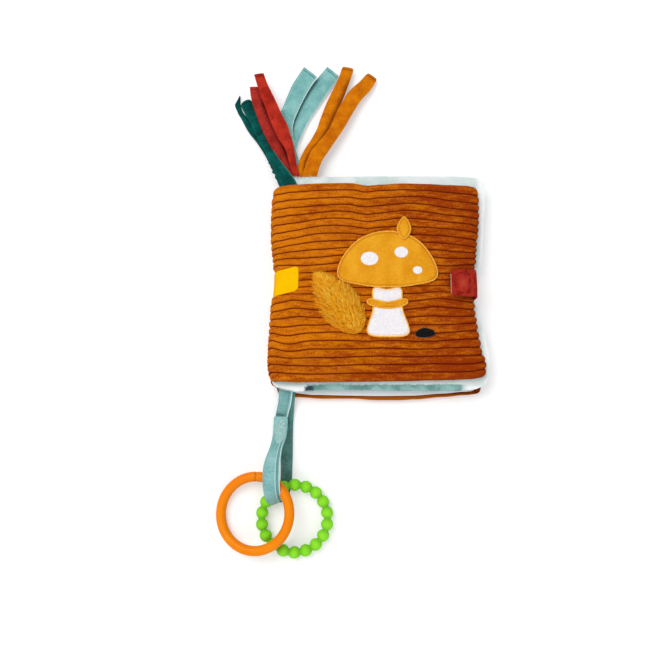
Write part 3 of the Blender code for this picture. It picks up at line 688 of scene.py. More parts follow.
# %% The pads' finishes
LINING_WHITE, LINING_GREY = linear(250, 252, 254), linear(238, 243, 247)
MINT_PALE, MINT_DEEP, MINT_WHITE = linear(230, 238, 237), linear(206, 224, 219), linear(244, 248, 248)
TEAL_WASH, TEAL_DARK = linear(150, 192, 188), linear(98, 148, 142)


def cotton_finish(name, pale, deep):
    cotton = Finish(name, roughness=0.95, Specular_IOR_Level=0.2, Sheen_Weight=0.15)
    cotton.colour(cotton.blend(cotton.noise(0.012, 3.0).above(0.5, 0.5), pale, deep))
    cotton.bump(cotton.noise(0.0005, 2.0), 0.15 * MM, 0.5)
    return cotton


def leaf_finish():
    """Mint plush. A watery teal band is printed along the foot, and clouds of it on the back."""
    plush = Finish("mint_plush", roughness=0.95, Specular_IOR_Level=0.15, Sheen_Weight=0.35,
                   Sheen_Roughness=0.6)
    base = plush.blend(plush.noise(0.010, 3.0).above(0.5, 0.35), MINT_PALE, MINT_DEEP)
    base = plush.blend(plush.noise(0.028, 1.0).above(0.58, 0.12) * 0.6, base, MINT_WHITE)
    across, up, level = plush.axis(0), plush.axis(1), plush.axis(2)
    # Painted light: the right strip and the foot, which lie in the covers' shade, are painted nearly white.
    rim = across.above(0.0800, 5 * MM).larger(1 - up.above(-0.0725, 3 * MM))
    base = plush.blend(rim * 0.9, base, linear(252, 254, 254))
    frayed = plush.noise(0.0024, 4.0, (0.7, 2.2, 1.0), 0.7) * (2.6 * MM)
    ragged = frayed + plush.noise(0.009, 1.0) * (2.4 * MM)
    band = 1 - (up + ragged).above(-0.0685, 1.6 * MM)
    from_left = (across + plush.noise(0.008, 2.0) * (12 * MM)).above(-0.047, 4 * MM)
    to_right = 1 - (across + plush.noise(0.008, 2.0) * (10 * MM)).above(0.069, 9 * MM)
    from_blot = across + plush.noise(0.003, 2.0) * (3 * MM) + 50.0 * MM
    low_part = 1 - (up + plush.noise(0.0022, 3.0) * (3 * MM)).above(-0.0708, 1.2 * MM)
    blot = (1 - abs(from_blot).above(3.1 * MM, 2.0 * MM)) * low_part
    wash = band * from_left * to_right
    underside = 1 - level.above(11.2 * MM, 1.0 * MM)
    clouds = underside * plush.noise(0.030, 4.0, roughness=0.6).above(0.52, 0.10) * 0.8
    ink = plush.blend(plush.noise(0.009, 3.0).above(0.48, 0.3), TEAL_WASH, TEAL_DARK)
    inked = plush.blend(wash.larger(clouds), base, ink)
    plush.colour(plush.blend(blot, inked, linear(34, 64, 72)))
    fine = plush.bump(plush.noise(0.0007, 3.0), 0.4 * MM, 0.5)
    plush.bump(plush.noise(0.0035, 2.0), 0.5 * MM, 0.35, fine)
    return plush


white_cotton = cotton_finish("white_lining", LINING_WHITE, LINING_GREY)
mint_cotton = cotton_finish("mint_lining", MINT_PALE, MINT_DEEP)
mint_plush = leaf_finish()
print("pads' finishes ready")

# %% The pads' outlines
LEAF_LEFT = ((-76, -79.4), (-70, -79.6), (-60, -79.0), (80, -76.4), (94, -74.5))
LEAF_RIGHT = ((-76, 79.5), (-70, 82.6), (-62, 84.6), (-55, 84.8), (-45, 83.8), (-36, 82.1), (-25, 79.6),
              (-17, 77.5), (-6, 75.0), (-2.5, 71.5), (11, 71.5), (14.5, 79.7), (29, 82.0), (49, 83.6),
              (74, 85.8), (88, 86.6), (94, 85.5))
LEAF_HEAD = ((-80, 93.0), (-40, 93.8), (10, 94.2), (60, 94.0), (86, 92.6))
LEAF_FOOT = ((-79, -72.2), (-75, -73.8), (-69, -75.4), (-61, -77.0), (-49, -76.0), (-40, -75.6), (-10, -75.6),
             (20, -76.2), (60, -76.2), (84, -73.8))
LINING_FOOT = ((-80, -74.6), (-66, -77.4), (-49, -79.0), (-20, -79.6), (0, -79.9), (27, -79.6), (50, -78.0),
               (66, -76.6), (80, -75.2))


def pad_outline(left, right, head, foot, corners=(6.0, 6.0)):
    left, right, head, foot = map(in_metres, (left, right, head, foot))

    def spot(a, b):
        low, high = np.mean([k[1] for k in foot]), np.mean([k[1] for k in head])
        y = mix(low, high, (b + 1) / 2)
        past = [np.maximum(0.0, corner * MM - np.minimum(y - low, high - y)) for corner in corners]
        cut = [c * MM - np.sqrt(np.maximum(0.0, (c * MM) ** 2 - p**2)) for c, p in zip(corners, past)]
        x = mix(along(left, y) + cut[0], along(right, y) - cut[1], (a + 1) / 2)
        return x, mix(along(foot, x), along(head, x), (b + 1) / 2)

    return spot


front_spot = pad_outline(FRONT_LEFT, FRONT_RIGHT, FRONT_HEAD, FRONT_FOOT)
back_spot = pad_outline(BACK_LEFT, BACK_RIGHT, BACK_HEAD, LINING_FOOT)
leaf_spot = pad_outline(LEAF_LEFT, LEAF_RIGHT, LEAF_HEAD, LEAF_FOOT, (2.5, 6.5))
print("the leaf's foot, mm:", [round(float(c) * 1000, 1) for c in leaf_spot(np.array(0.0), np.array(-1.0))])

# %% Blowing up a pad
SIMULATED_FRAMES, PRESSURE, MOST_SWELL = 20, 4.0, 2.2 * MM


def blow_up(obj, reach, sewn):
    """Inflate a pad with a short cloth simulation, its sewn rim held, and keep each point within reach."""
    before = points_of(obj)
    rim = obj.vertex_groups.new(name="sewn")
    rim.add([int(k) for k in np.flatnonzero(sewn)], 1.0, "REPLACE")
    cloth = obj.modifiers.new("cloth", "CLOTH")
    cloth.settings.use_pressure = True
    cloth.settings.uniform_pressure_force = PRESSURE
    cloth.settings.effector_weights.gravity = 0.0
    cloth.settings.quality = 4
    cloth.settings.vertex_group_mass = "sewn"
    cloth.point_cache.frame_start = 1
    cloth.point_cache.frame_end = SIMULATED_FRAMES
    scene = bpy.context.scene
    for step in range(1, SIMULATED_FRAMES + 1):
        scene.frame_set(step)
    select_only(obj)
    bpy.ops.object.modifier_apply(modifier="cloth")
    scene.frame_set(1)
    obj.vertex_groups.clear()
    moved = points_of(obj) - before
    length = np.maximum(np.linalg.norm(moved, axis=1, keepdims=True), 1e-9)
    move_points(obj, before + moved * np.minimum(1.0, reach / length))
    return float(length.max())


print("pads swell", round(MOST_SWELL * 1000, 1), "mm at most")

# %% A pad between two levels
PAD_CELLS = 44


def pad(spot, low, rim, high, shy=0.985, thin=0.22, cover=None):
    """A closed pad between two levels, with its seam at the rim's level, kept behind its cover's cloth."""
    bpy.ops.object.select_all(action="DESELECT")
    bpy.ops.mesh.primitive_grid_add(x_subdivisions=PAD_CELLS, y_subdivisions=PAD_CELLS, size=2)
    obj = wall(bpy.context.object, 1.0, 0.0)
    flat = points_of(obj)
    a, b, side = np.sin(flat[:, 0] * math.pi / 2), np.sin(flat[:, 1] * math.pi / 2), np.sign(flat[:, 2])
    x, y = spot(a, b)
    full = np.maximum(crown(a, b), thin)
    z = np.where(side > 0, rim + (high - rim) * full, rim - (rim - low) * full)
    middle = np.array([x.mean(), y.mean()])
    x, y = middle[0] + (x - middle[0]) * shy, middle[1] + (y - middle[1]) * shy
    move_points(obj, np.stack((x, y, z), axis=-1))
    swell = blow_up(obj, MOST_SWELL, np.maximum(abs(a), abs(b)) > 0.999)
    print("simulated swell, mm:", round(swell * 1000, 2))
    smoother(obj)
    points = points_of(obj)
    dents = np.minimum(0.0, grain(points, 13 * MM, 5.0)) * 0.9 + 0.25 * grain(points, 5 * MM, 2.0)
    inward = np.sign(points[:, 2] - rim)
    points[:, 2] += dents * inward * 0.8 * MM * np.minimum(1.0, np.abs(points[:, 2] - rim) / MM)
    points[:, 2] = np.clip(points[:, 2], low, high)
    if cover:
        keep = np.minimum if cover.up > 0 else np.maximum
        points[:, 2] = keep(points[:, 2], cover.inside(points[:, 0], points[:, 1]))
    move_points(obj, points)
    return obj


print("pads have", PAD_CELLS, "x", PAD_CELLS, "cells a side")

# %% The three pads
front_pad = finished(
    pad(front_spot, 17.0 * MM, 18.0 * MM, 22.3 * MM, 0.975, cover=front),
    "front_cover_pad", mint_cotton, "front_cover",
    ("front_cover_lining", "front_cover_batting", "front_cover_crinkle_film"),
)
back_pad = finished(
    pad(back_spot, 2.2 * MM, 5.6 * MM, 8.1 * MM, 0.985, cover=back),
    "back_cover_pad", white_cotton, "back_cover",
    ("back_cover_lining", "back_cover_batting", "back_cover_crinkle_film"),
)
leaf_pad = finished(
    pad(leaf_spot, 8.4 * MM, 13.6 * MM, 16.75 * MM, 0.995, 0.3),
    "inner_leaf", mint_plush, "leaf",
    ("leaf_front_fabric", "leaf_back_fabric", "leaf_batting", "leaf_crinkle_film"),
)
print("pads:", [len(o.data.polygons) for o in (front_pad, back_pad, leaf_pad)])

# %% [markdown]
# ## Ribbons and tape
# A ribbon is a strip of velvet folded over and stitched along its edges. Falling cloth in a simulation would
# look soft, but it lands elsewhere in each run. So a ribbon is laid along a smooth route that follows the
# photograph. Its cross direction is level and then rolled a little, so that it lies or stands on edge as the
# real ones do.

# %% Across a strip
STRIP_COLUMNS = (-1, -0.97, -0.9, -0.82, -0.74, -0.5, -0.25, 0, 0.25, 0.5, 0.74, 0.82, 0.9, 0.97, 1)
HEM_LINE, HEM_DEPTH = 0.82, 0.16 * MM


def spread(values, count):
    """The values, or the one value, spread smoothly over a count of rows."""
    if len(values) == 1:
        return np.full(count, float(values[0]))
    return route([(value, 0.0) for value in values], count)[:, 0]


print("half widths over 5 rows:", spread((4.0, 6.0), 5).round(2))


# %% A strip of cloth along a route
class Strip:
    """A ribbon or tape: its middle line, its cross directions and its half widths, in metres."""

    def __init__(self, points, halves, turns=(0.0,), count=90, arch=0.0, slant=0.0, blunt=(1.0, 0.0),
                 fold=(1, 1, 0), across=None, crease_shadow_at=0.0):
        self.centres = route(points, count) * MM
        self.halves = spread(halves, count) * MM
        rolls = np.radians(spread(turns, count))
        ahead = np.gradient(self.centres, axis=0)
        self.ahead = ahead / np.linalg.norm(ahead, axis=1, keepdims=True)
        if across:
            way = np.array((across, 0.45 * across, 0.0))
            level = way - self.ahead * (self.ahead @ way)[:, None]
        else:
            level = np.stack((self.ahead[:, 1], -self.ahead[:, 0], np.zeros(count)), axis=1)
        level /= np.linalg.norm(level, axis=1, keepdims=True)
        upright = np.cross(level, self.ahead)
        self.side = level * np.cos(rolls)[:, None] - upright * np.sin(rolls)[:, None]
        self.out = np.cross(self.side, self.ahead)
        self.length = lengths_along(self.centres)
        self.arch, self.slant, self.crease_shadow_at = arch * MM, slant * MM, crease_shadow_at * MM
        self.blunt, self.count, self.fold = blunt, count, fold

    def at(self, s, row, lift=0.0):
        """The place at s, from -1 to 1 across, and at a row, which may lie between two."""
        low = np.clip(np.floor(row).astype(int), 0, self.count - 2)
        t = (row - low)[..., None]
        centre = mix(self.centres[low], self.centres[low + 1], t)
        side = mix(self.side[low], self.side[low + 1], t)
        out = mix(self.out[low], self.out[low + 1], t)
        ahead = self.ahead[low]
        half = mix(self.halves[low], self.halves[low + 1], t[..., 0])
        done = mix(self.length[low], self.length[low + 1], t[..., 0])
        left = self.length[-1] - done
        reach, share = self.blunt
        past = np.clip(1 - left / (reach * MM), 0.0, 1.0)
        half = half * np.sqrt(1 - share * past**2)
        slanted = self.slant * s * np.clip(done / self.length[-1] * 3 - 2, 0, 1)
        rise = self.arch * (1 - s**2) + lift
        return centre + side * (s * half)[..., None] + out * rise[..., None] + ahead * slanted[..., None]

    def cloth(self, thickness, ruffle=0.0, seed=0.0):
        """The strip as a grid with a wall: hems pressed in, the face a little uneven, the edge ruffled."""

        def place(s, row):
            at = row.astype(int)
            done, left_over = self.length[at], self.length[-1] - self.length[at]
            points = self.at(s, row)
            groove = np.exp(-(((np.abs(s) - HEM_LINE) / 0.05) ** 2)) * -HEM_DEPTH
            soft = grain(points, 9 * MM, seed) * 0.25 * MM + grain(points, 4 * MM, seed + 1) * 0.10 * MM
            wave = np.sin(done / (0.85 * MM)) * (0.6 + 0.4 * np.sin(done / (2.3 * MM)))
            edge = ruffle * MM * wave * np.clip(-s, 0, 1) ** 3 * ease(1 - np.abs(done - 21 * MM) / (20 * MM))
            points = points + normals_of(points) * (groove + soft)[..., None]
            points = points + self.side[at] * edge[..., None]
            # Painted shade: the fold tag darkens one side of a tail, fading out near its tip, and a band
            # across the stub next to the front leg's end, where it is creased.
            way, start, depth = self.fold
            fold_side_shade = ease((s * way - start) / (1 - start)) if start < 1 else 0 * s
            fade = ease(left_over / (12 * MM) - 0.4)
            crease_shadow = np.exp(-(((left_over - self.crease_shadow_at) / MM) ** 2)) * ease(1.6 - 1.5 * np.abs(s - 0.25))
            shade = np.maximum(depth * fold_side_shade * fade, 0.8 * crease_shadow * (self.crease_shadow_at > 0))
            tags = {"fold": shade, "edge": np.abs(s), "right": s, "along": done, "left_over": left_over}
            return points, tags

        rows = np.arange(self.count, dtype=float)
        return wall(lay(STRIP_COLUMNS, rows, place), thickness * MM, 0.0)

    def declare(self, piece, held="laid", **more):
        wide = 2 * float(self.halves.max() + MM)
        long = float(self.length[-1])
        2 * float(self.halves.mean() + MM) * long


print("strips have", len(STRIP_COLUMNS), "columns")


# %% [markdown]
# ### Velvet
# Velvet has a short nap that lies one way or the other, so it shows light and dark patches. A sheen alone
# gives the pale rim of velvet but not the patches. So two noises, a wide and a fine one, mix a light and a
# dark shade, and the sheen stays weak. The tags of the strip say where its sewn edges, its folded side and
# its selvedge are. The sewn lines and the folded side are darkened as painted shade, and the selvedge is made
# pale, which is partly a painted highlight.

# %% Velvet's finish
def velvet_finish(name, light, dark, deep, thread, dash=0.0, rim=0.75, selvedge=(1, 0.94)):
    """Velvet, with dashed stitches inside each edge, a groove across the tip, and one pale selvedge.

    dash and rim say how strongly the stitches and the selvedge show, and selvedge on which side it is and
    how far from the middle it starts. The gaps between the stitches, the groove across the tip and the folded
    side are darkened as painted shade, and the pale selvedge is partly a painted highlight.
    """
    velvet = Finish(name, roughness=0.9, Specular_IOR_Level=0.10, Sheen_Weight=0.12, Sheen_Roughness=0.4,
                    Sheen_Tint=thread)
    nap = velvet.noise(0.008, 3.0) * 0.7 + velvet.noise(0.0014, 3.0) * 0.35
    pile = velvet.blend(nap.above(0.52, 0.42), light, dark)
    edge, end = velvet.attribute("edge"), velvet.attribute("left_over")
    sides = edge.above(0.77, 0.04) * (1 - edge.above(0.87, 0.04))
    across = end.above(1.7 * MM, 0.4 * MM) * (1 - end.above(2.7 * MM, 0.4 * MM))
    across = across * (1 - edge.above(0.85, 0.05))
    dashes = velvet.attribute("along").wave(2.0 * MM).above(0.1, 0.5)
    pile = velvet.blend(sides * dashes * dash, pile, thread)
    # Painted shade in the sewn lines between the stitches, and in a groove across the tip that is only
    # painted.
    pile = velvet.blend(sides * (1 - dashes) * 0.45, pile, dark)
    pile = velvet.blend(across * 0.6, pile, deep)
    # Painted shade on the folded side of a tail and at the stub's crease.
    pile = velvet.blend(velvet.attribute("fold"), pile, deep)
    # The pale selvedge, partly a painted highlight along that edge.
    pale = (velvet.attribute("right") * selvedge[0]).above(selvedge[1], 0.05) * rim
    velvet.colour(velvet.blend(pale, pile, thread))
    velvet.bump(velvet.noise(0.0005, 3.0), 0.25 * MM, 0.5)
    return velvet


print("velvet can be mixed")

# %% The ribbons' velvets
green_velvet = velvet_finish("green_velvet", linear(4, 94, 88), linear(0, 56, 53), linear(0, 32, 30),
                             linear(90, 176, 164), dash=0.25, rim=0.6)
red_velvet = velvet_finish("red_velvet", linear(196, 52, 34), linear(146, 28, 14), linear(90, 4, 4),
                           linear(232, 100, 76), dash=0.2, rim=0.3)
# A darker copy of the red velvet: painted shade for the left tail, which curves away from the light.
red_shaded = velvet_finish("red_velvet_shaded", linear(184, 54, 44), linear(136, 30, 24), linear(78, 3, 3),
                            linear(226, 92, 70), dash=0.2, rim=0.3)
blue_velvet = velvet_finish("blue_velvet", linear(141, 195, 192), linear(107, 167, 165), linear(50, 98, 102),
                            linear(214, 238, 234), dash=0.4, rim=1.0)
orange_velvet = velvet_finish("orange_velvet", linear(222, 130, 0), linear(186, 93, 0), linear(112, 42, 0),
                              linear(244, 170, 40), dash=0.25, rim=0.2)
print("velvets ready")

# %% The ribbons' routes
# For each tail: its middle line as (x, y, z), its half widths, its rolls in degrees, and its own ways.
# All lengths are in millimetres.
# Among a tail's ways, fold darkens one side of it as painted shade.
RIBBONS = {
    "green_ribbon": (
        green_velvet,
        ("left", ((-68.8, 80, 16.4), (-72.0, 89.2, 16.0), (-77.0, 99.9, 14.9), (-84.7, 115.4, 7.0),
                  (-91.8, 127.8, 4.0), (-100.1, 139.4, 3), (-107.9, 151.2, 2.6), (-110.6, 158.2, 2.4),
                  (-112.0, 165.0, 2.2)),
         (5.2, 5.2, 4.8, 3.6, 3.5, 3.5, 2.0, 2.2, 2.9), (0, 4, 8, 12, 10, 12, 16, 20, 20),
         {"ruffle": 0.9, "slant": 4.4, "fold": (1, 0.2, 0.8)}),
        ("right", ((-66.0, 80, 17.2), (-67.5, 84.8, 17.2), (-70.4, 90.1, 17.0), (-75.9, 99.8, 16.0),
                   (-81.0, 109.1, 13.0), (-86.0, 119.3, 9.4), (-90.3, 128.1, 7.4), (-93.8, 135.8, 6.4),
                   (-96.8, 143.7, 5.8), (-99.7, 150.1, 5.5), (-102.6, 156.8, 5.6), (-105.0, 162.4, 6.0)),
         (5.9, 5.8, 5.7, 4.6, 4.1, 3.5, 3.5, 3.9, 3.9, 4.4, 4.9, 4.9),
         (0, 2, 4, 8, 12, 10, 8, 4, 0, -2, -4, -6),
         {"blunt": (3.4, 0.9)}),
    ),
    "red_ribbon": (
        red_velvet,
        ("left", ((-62.5, 80, 6.0), (-63.5, 92.4, 6.0), (-65.2, 96.4, 6.8), (-68.7, 102.6, 7.6),
                  (-72.3, 109.5, 8.4), (-76.3, 117.8, 8.8), (-79.7, 125.0, 9), (-83.3, 132.8, 9),
                  (-86.9, 140.9, 8.8), (-90.3, 148.9, 8.6), (-93.8, 157.5, 8.5), (-96.2, 165.1, 8.9),
                  (-97.5, 172.6, 9.6)),
         (2.6, 2.6, 2.6, 3.0, 3.8, 4.8, 5.5, 5.7, 5.5, 5.1, 4.6, 4.0, 3.6),
         (0, 0, 4, 6, 8, 10, 10, 10, 10, 10, 8, 4, 0),
         {"slant": -0.6, "fold": (1, -0.1, 0.95), "velvet": red_shaded}),
        ("right", ((-62.6, 80, 7.0), (-62.9, 92.5, 7.5), (-62.9, 96.8, 8.0), (-65.0, 103.8, 9.9),
                   (-66.5, 111.1, 10.8), (-67.8, 117.4, 11.2), (-70.0, 123.3, 11.6), (-73.0, 129.6, 11.9),
                   (-75.9, 137.2, 12), (-79.9, 145.9, 12), (-83.2, 154.8, 12), (-87.2, 164.3, 12),
                   (-90.7, 173.1, 12), (-93.8, 182.7, 12.2)),
         (2.8, 2.8, 2.7, 2.7, 3.0, 3.2, 4.3, 5.3, 5.8, 5.4, 5.0, 4.6, 4.1, 3.8),
         (0, 0, 0, 4, 6, 6, 8, 8, 8, 8, 6, 4, 2, 0),
         {"slant": -0.6}),
    ),
    "blue_ribbon": (
        blue_velvet,
        ("left", ((-62.6, 80, 5.4), (-62.6, 91.4, 5.6), (-63.5, 103.3, 5.8), (-68.1, 118.0, 5.6),
                  (-72.5, 135.4, 5.2), (-71.1, 147.6, 5), (-66.8, 159.1, 4.8), (-60.8, 173.4, 4.7),
                  (-52.0, 188.4, 4.8)),
         (4.4, 4.4, 4.6, 5.2, 6.1, 6.4, 6.4, 7.0, 7.0), (0,), {"slant": -1.2}),
        ("right", ((-63.4, 80, 4.2), (-63.9, 93.6, 4.2), (-64.2, 102.0, 4.2), (-65.0, 109.8, 4.0),
                   (-65.8, 118.2, 3.5), (-65.7, 126.0, 3.0), (-64.1, 133.7, 2.6), (-61.9, 141.4, 2.2),
                   (-58.8, 148.8, 1.9), (-55.0, 156.9, 1.7), (-50.0, 165.6, 1.6), (-44.4, 174.5, 1.5),
                   (-37.9, 183.8, 1.6), (-33.2, 190.4, 1.7)),
         (2.0, 2.0, 1.9, 1.9, 2.4, 3.6, 5.0, 5.7, 6.2, 7.0, 7.3, 7.4, 7.0, 6.8), (0,),
         {"slant": -0.8, "fold": (-1, 0.35, 0.9)}),
    ),
    "orange_ribbon": (
        orange_velvet,
        ("left", ((-57.6, 80, 6.5), (-58.0, 92.6, 6.6), (-58.9, 100.2, 6.9), (-58.5, 105.3, 7.1),
                  (-56.8, 111.6, 7.3), (-53.0, 119.2, 7.4), (-47.6, 126.7, 7.3), (-42.3, 136.0, 7.0),
                  (-39.0, 144.2, 6.7), (-35.4, 154.2, 6.3), (-30.8, 165.2, 5.7), (-26.8, 175.0, 5.2),
                  (-23.8, 183.3, 4.9), (-21.0, 192.4, 4.6)),
         (3.0, 3.0, 2.9, 2.9, 2.8, 2.9, 3.6, 4.4, 5.1, 5.3, 5.5, 5.0, 4.8, 4.8), (0,),
         {"slant": 0.3, "blunt": (1.6, 0.3), "fold": (1, 0.0, 0.85)}),
        ("right", ((-51.8, 80, 7.8), (-52.1, 92.0, 8.0), (-52.2, 96.0, 8.4), (-50.6, 102.0, 8.9),
                   (-49.2, 107.1, 9.1), (-46.3, 113.8, 9.2), (-42.5, 119.2, 9.2), (-38.0, 125.6, 9.1),
                   (-32.8, 133.4, 8.9), (-28.6, 141.5, 8.5), (-24.1, 151.2, 7.8), (-19.6, 159.8, 7.0),
                   (-14.7, 167.8, 6.0), (-7.5, 176.0, 4.6), (-1.1, 185.9, 2.8)),
         (6.0, 6.0, 5.9, 5.6, 5.7, 5.9, 5.6, 5.2, 5.0, 5.5, 6.0, 6.1, 6.2, 5.7, 4.9), (0,),
         {"slant": -0.4, "blunt": (1.6, 0.3)}),
    ),
}
print("ribbons drawn:", ", ".join(RIBBONS))

# %% The ribbons
BOOK_HEAD, ROOT_REACH = 95.5 * MM, 9 * MM
for number, (body, (velvet, *tails)) in enumerate(RIBBONS.items()):
    bend = ("back_cover", body, (0, BOOK_HEAD - ROOT_REACH, 0), (0, BOOK_HEAD + ROOT_REACH, 0))
    for end, points, halves, turns, ways in tails:
        ways = {"arch": 0.45, "velvet": velvet, "ruffle": 0.0, **ways}
        own_velvet, ruffle = ways.pop("velvet"), ways.pop("ruffle")
        strip = Strip(points, halves, turns, **ways)
        tail = finished(strip.cloth(0.7, ruffle, number + len(end)), f"{body}_{end}_velvet", own_velvet,
                        stands_for=(f"{body}_{end}_tail",), bends=bend)
        strip.declare(tail)
print("ribbons:", sum(len(tails) - 1 for tails in RIBBONS.values()), "tails")

# %% [markdown]
# ## Toy strap
# The strap is velvet tape. A short stub and a long back leg come out of one seam at the book's foot. The back
# leg runs under both rings, folds, and comes back over them as the front leg, which closes onto the stub with
# a hook patch. One long strip could make both legs, but it couldn't open at the fold. So each leg is a strip
# of its own.

# %% The strap's routes and velvets
STUB = ((-68.6, -66, 9.6), (-68.8, -72.4, 9.6), (-69.2, -76.8, 9.3), (-69.9, -83.7, 7.4), (-71.4, -89.7, 5.4),
        (-72.3, -94.1, 4.4), (-72.9, -98.7, 4.0), (-73.4, -108, 3.7))
BACK_LEG = ((-66.0, -66, 8.05), (-66.6, -72.2, 8.0), (-66.6, -75.7, 7.9), (-67.3, -84.3, 5.0),
            (-67.9, -93.0, 2.4), (-68.2, -101.8, 1.2), (-68.3, -110.6, 1.0), (-68.3, -123.8, 1.0),
            (-68.6, -141.2, 1.0), (-70.2, -150.0, 1.4), (-73.4, -154.8, 2.6), (-74.8, -156.6, 4.0))
FRONT_LEG = ((-74.8, -156.6, 4.0), (-75.1, -157.0, 7.2), (-75.8, -156.1, 12.5), (-76.9, -153.5, 17.4),
             (-77.7, -148.6, 20.6), (-78.2, -141.6, 21.8), (-78.1, -134.7, 21.8), (-77.6, -128.7, 20.4),
             (-76.3, -121.8, 17.2), (-75.2, -117.0, 14.4), (-73.6, -110.8, 11.2), (-72.9, -104.5, 9.2),
             (-72.7, -99.2, 8.4), (-72.7, -94.5, 8.9))
STRAP_PALE = linear(206, 230, 229)
stub_velvet = velvet_finish("stub_velvet", linear(138, 186, 184), linear(108, 160, 158), linear(60, 110, 108),
                            STRAP_PALE, selvedge=(-1, 0.74))
# A darker copy of the strap's velvet: painted shade for the back leg, which lies under the front leg.
shaded_back_velvet = velvet_finish("strap_back_velvet", linear(100, 150, 145), linear(70, 112, 106),
                            linear(40, 76, 72), linear(120, 166, 163), dash=0.35, rim=0.3)
print("strap's routes:", len(STUB), len(BACK_LEG), len(FRONT_LEG), "points")


# %% [markdown]
# ### The front leg's face
# The tape of the front leg has two ridges pressed into it lengthwise. Near its end the stitches of the hook
# patch on its underside pull it in, so a rough round spot shows there. The ridges are far lower than the
# tape is thick, so they are painted with the strip's tags as pale and dark stripes, which are painted
# highlight and painted shade, the spot gets a bump too, and the shape stays plain.

# %% The front leg's velvet
def front_leg_finish():
    """The strap's velvet with two pressed ridges on its right and the stitched hook patch near its end."""
    velvet = Finish("strap_velvet", roughness=0.9, Specular_IOR_Level=0.10, Sheen_Weight=0.12,
                    Sheen_Roughness=0.4)
    nap = velvet.noise(0.010, 3.0) * 0.6 + velvet.noise(0.0016, 3.0) * 0.45
    pile = velvet.blend(nap.above(0.52, 0.42), linear(154, 200, 199), linear(110, 165, 163))
    right, over = velvet.attribute("right"), velvet.attribute("left_over")
    low = over.above(20 * MM, 14 * MM)
    # Painted highlight and painted shade: pale and dark stripes stand in for the two pressed ridges.
    ridge_highlight_and_shade = ((0.46, 0.05, STRAP_PALE, 0.75), (0.72, 0.17, linear(92, 146, 145), 0.7),
               (0.56, 0.04, linear(84, 136, 136), 0.8), (0.93, 0.06, STRAP_PALE, 0.8))
    for place, wide, shade, share in ridge_highlight_and_shade:
        stripe = right.above(place - wide, 0.05) * (1 - right.above(place + wide, 0.05))
        pile = velvet.blend(stripe * low * share, pile, shade)
    off_x, off_y = (right - 0.12) * 1.25, (over - 11.5 * MM) * (1 / (10.5 * MM))
    inside = 1 - (off_x * off_x + off_y * off_y).above(0.9, 0.25)
    pits = velvet.noise(0.0011, 2.0, roughness=0.7)
    patch = velvet.blend(pits.above(0.5, 0.25), linear(176, 210, 206), linear(138, 180, 176))
    velvet.colour(velvet.blend(inside * 0.85, pile, patch))
    fine = velvet.bump(velvet.noise(0.0005, 3.0), 0.25 * MM, 0.5)
    velvet.bump(pits * inside, 0.6 * MM, 0.8, fine)
    return velvet


front_velvet = front_leg_finish()
print("front leg's velvet ready")

# %% The strap's legs
stub = Strip(STUB, (5.7, 5.6, 5.2, 4.9, 4.7, 4.6, 4.5, 4.5), count=60, arch=0.2, across=-1.0, crease_shadow_at=15.2)
back_leg = Strip(BACK_LEG, (4.9, 4.9, 4.8, 4.6, 4.5, 4.4, 4.4, 4.4, 4.2, 4.2, 4.2, 3.9), count=110,
                 across=-1.0)
front_leg = Strip(FRONT_LEG, (3.9, 4.2, 4.9, 5.6, 5.9, 6.1, 6.1, 5.8, 5.2, 4.8, 5.1, 5.3, 5.2, 5.0),
                  count=120, arch=0.3, across=1.0)
at_foot = ("back_cover", "toy_strap", (0, -74 * MM, 0), (0, -90 * MM, 0))
at_fold = ("toy_strap", "strap_tab", (-74.2 * MM, -160 * MM, 2.6 * MM), (-75.0 * MM, -131 * MM, 8.0 * MM))
legs = {
    "strap_stub_velvet": (stub, stub_velvet, ("strap_stub", "strap_loop_patch"), at_foot),
    "strap_back_velvet": (back_leg, shaded_back_velvet, ("strap_back_leg",), at_foot),
    "strap_front_velvet": (front_leg, front_velvet, ("strap_front_leg", "strap_hook_patch"), at_fold),
}
for name, (strip, velvet, nodes, bend) in legs.items():
    leg = finished(strip.cloth(1.1), name, velvet, stands_for=nodes, bends=bend)
    strip.declare(leg)
print("strap legs:", ", ".join(legs))

# %% [markdown]
# ## Stitches
# Stitches could be painted, but along the strap and the hems they catch the light one by one, so they are
# modelled. They repeat by the hundred, so one is made with few faces and copied along a path. Each copy lies
# along the path and half sinks into the cloth.

# %% One stitch, sewn along a path
def thread_finish(name, colour, shade):
    thread = Finish(name, roughness=0.6, Specular_IOR_Level=0.4, Sheen_Weight=0.2)
    thread.colour(thread.blend(thread.noise(0.0009, 2.0).above(0.5, 0.4), colour, shade))
    thread.bump(thread.noise(0.00018, 1.0), 0.08 * MM, 0.5)
    return thread


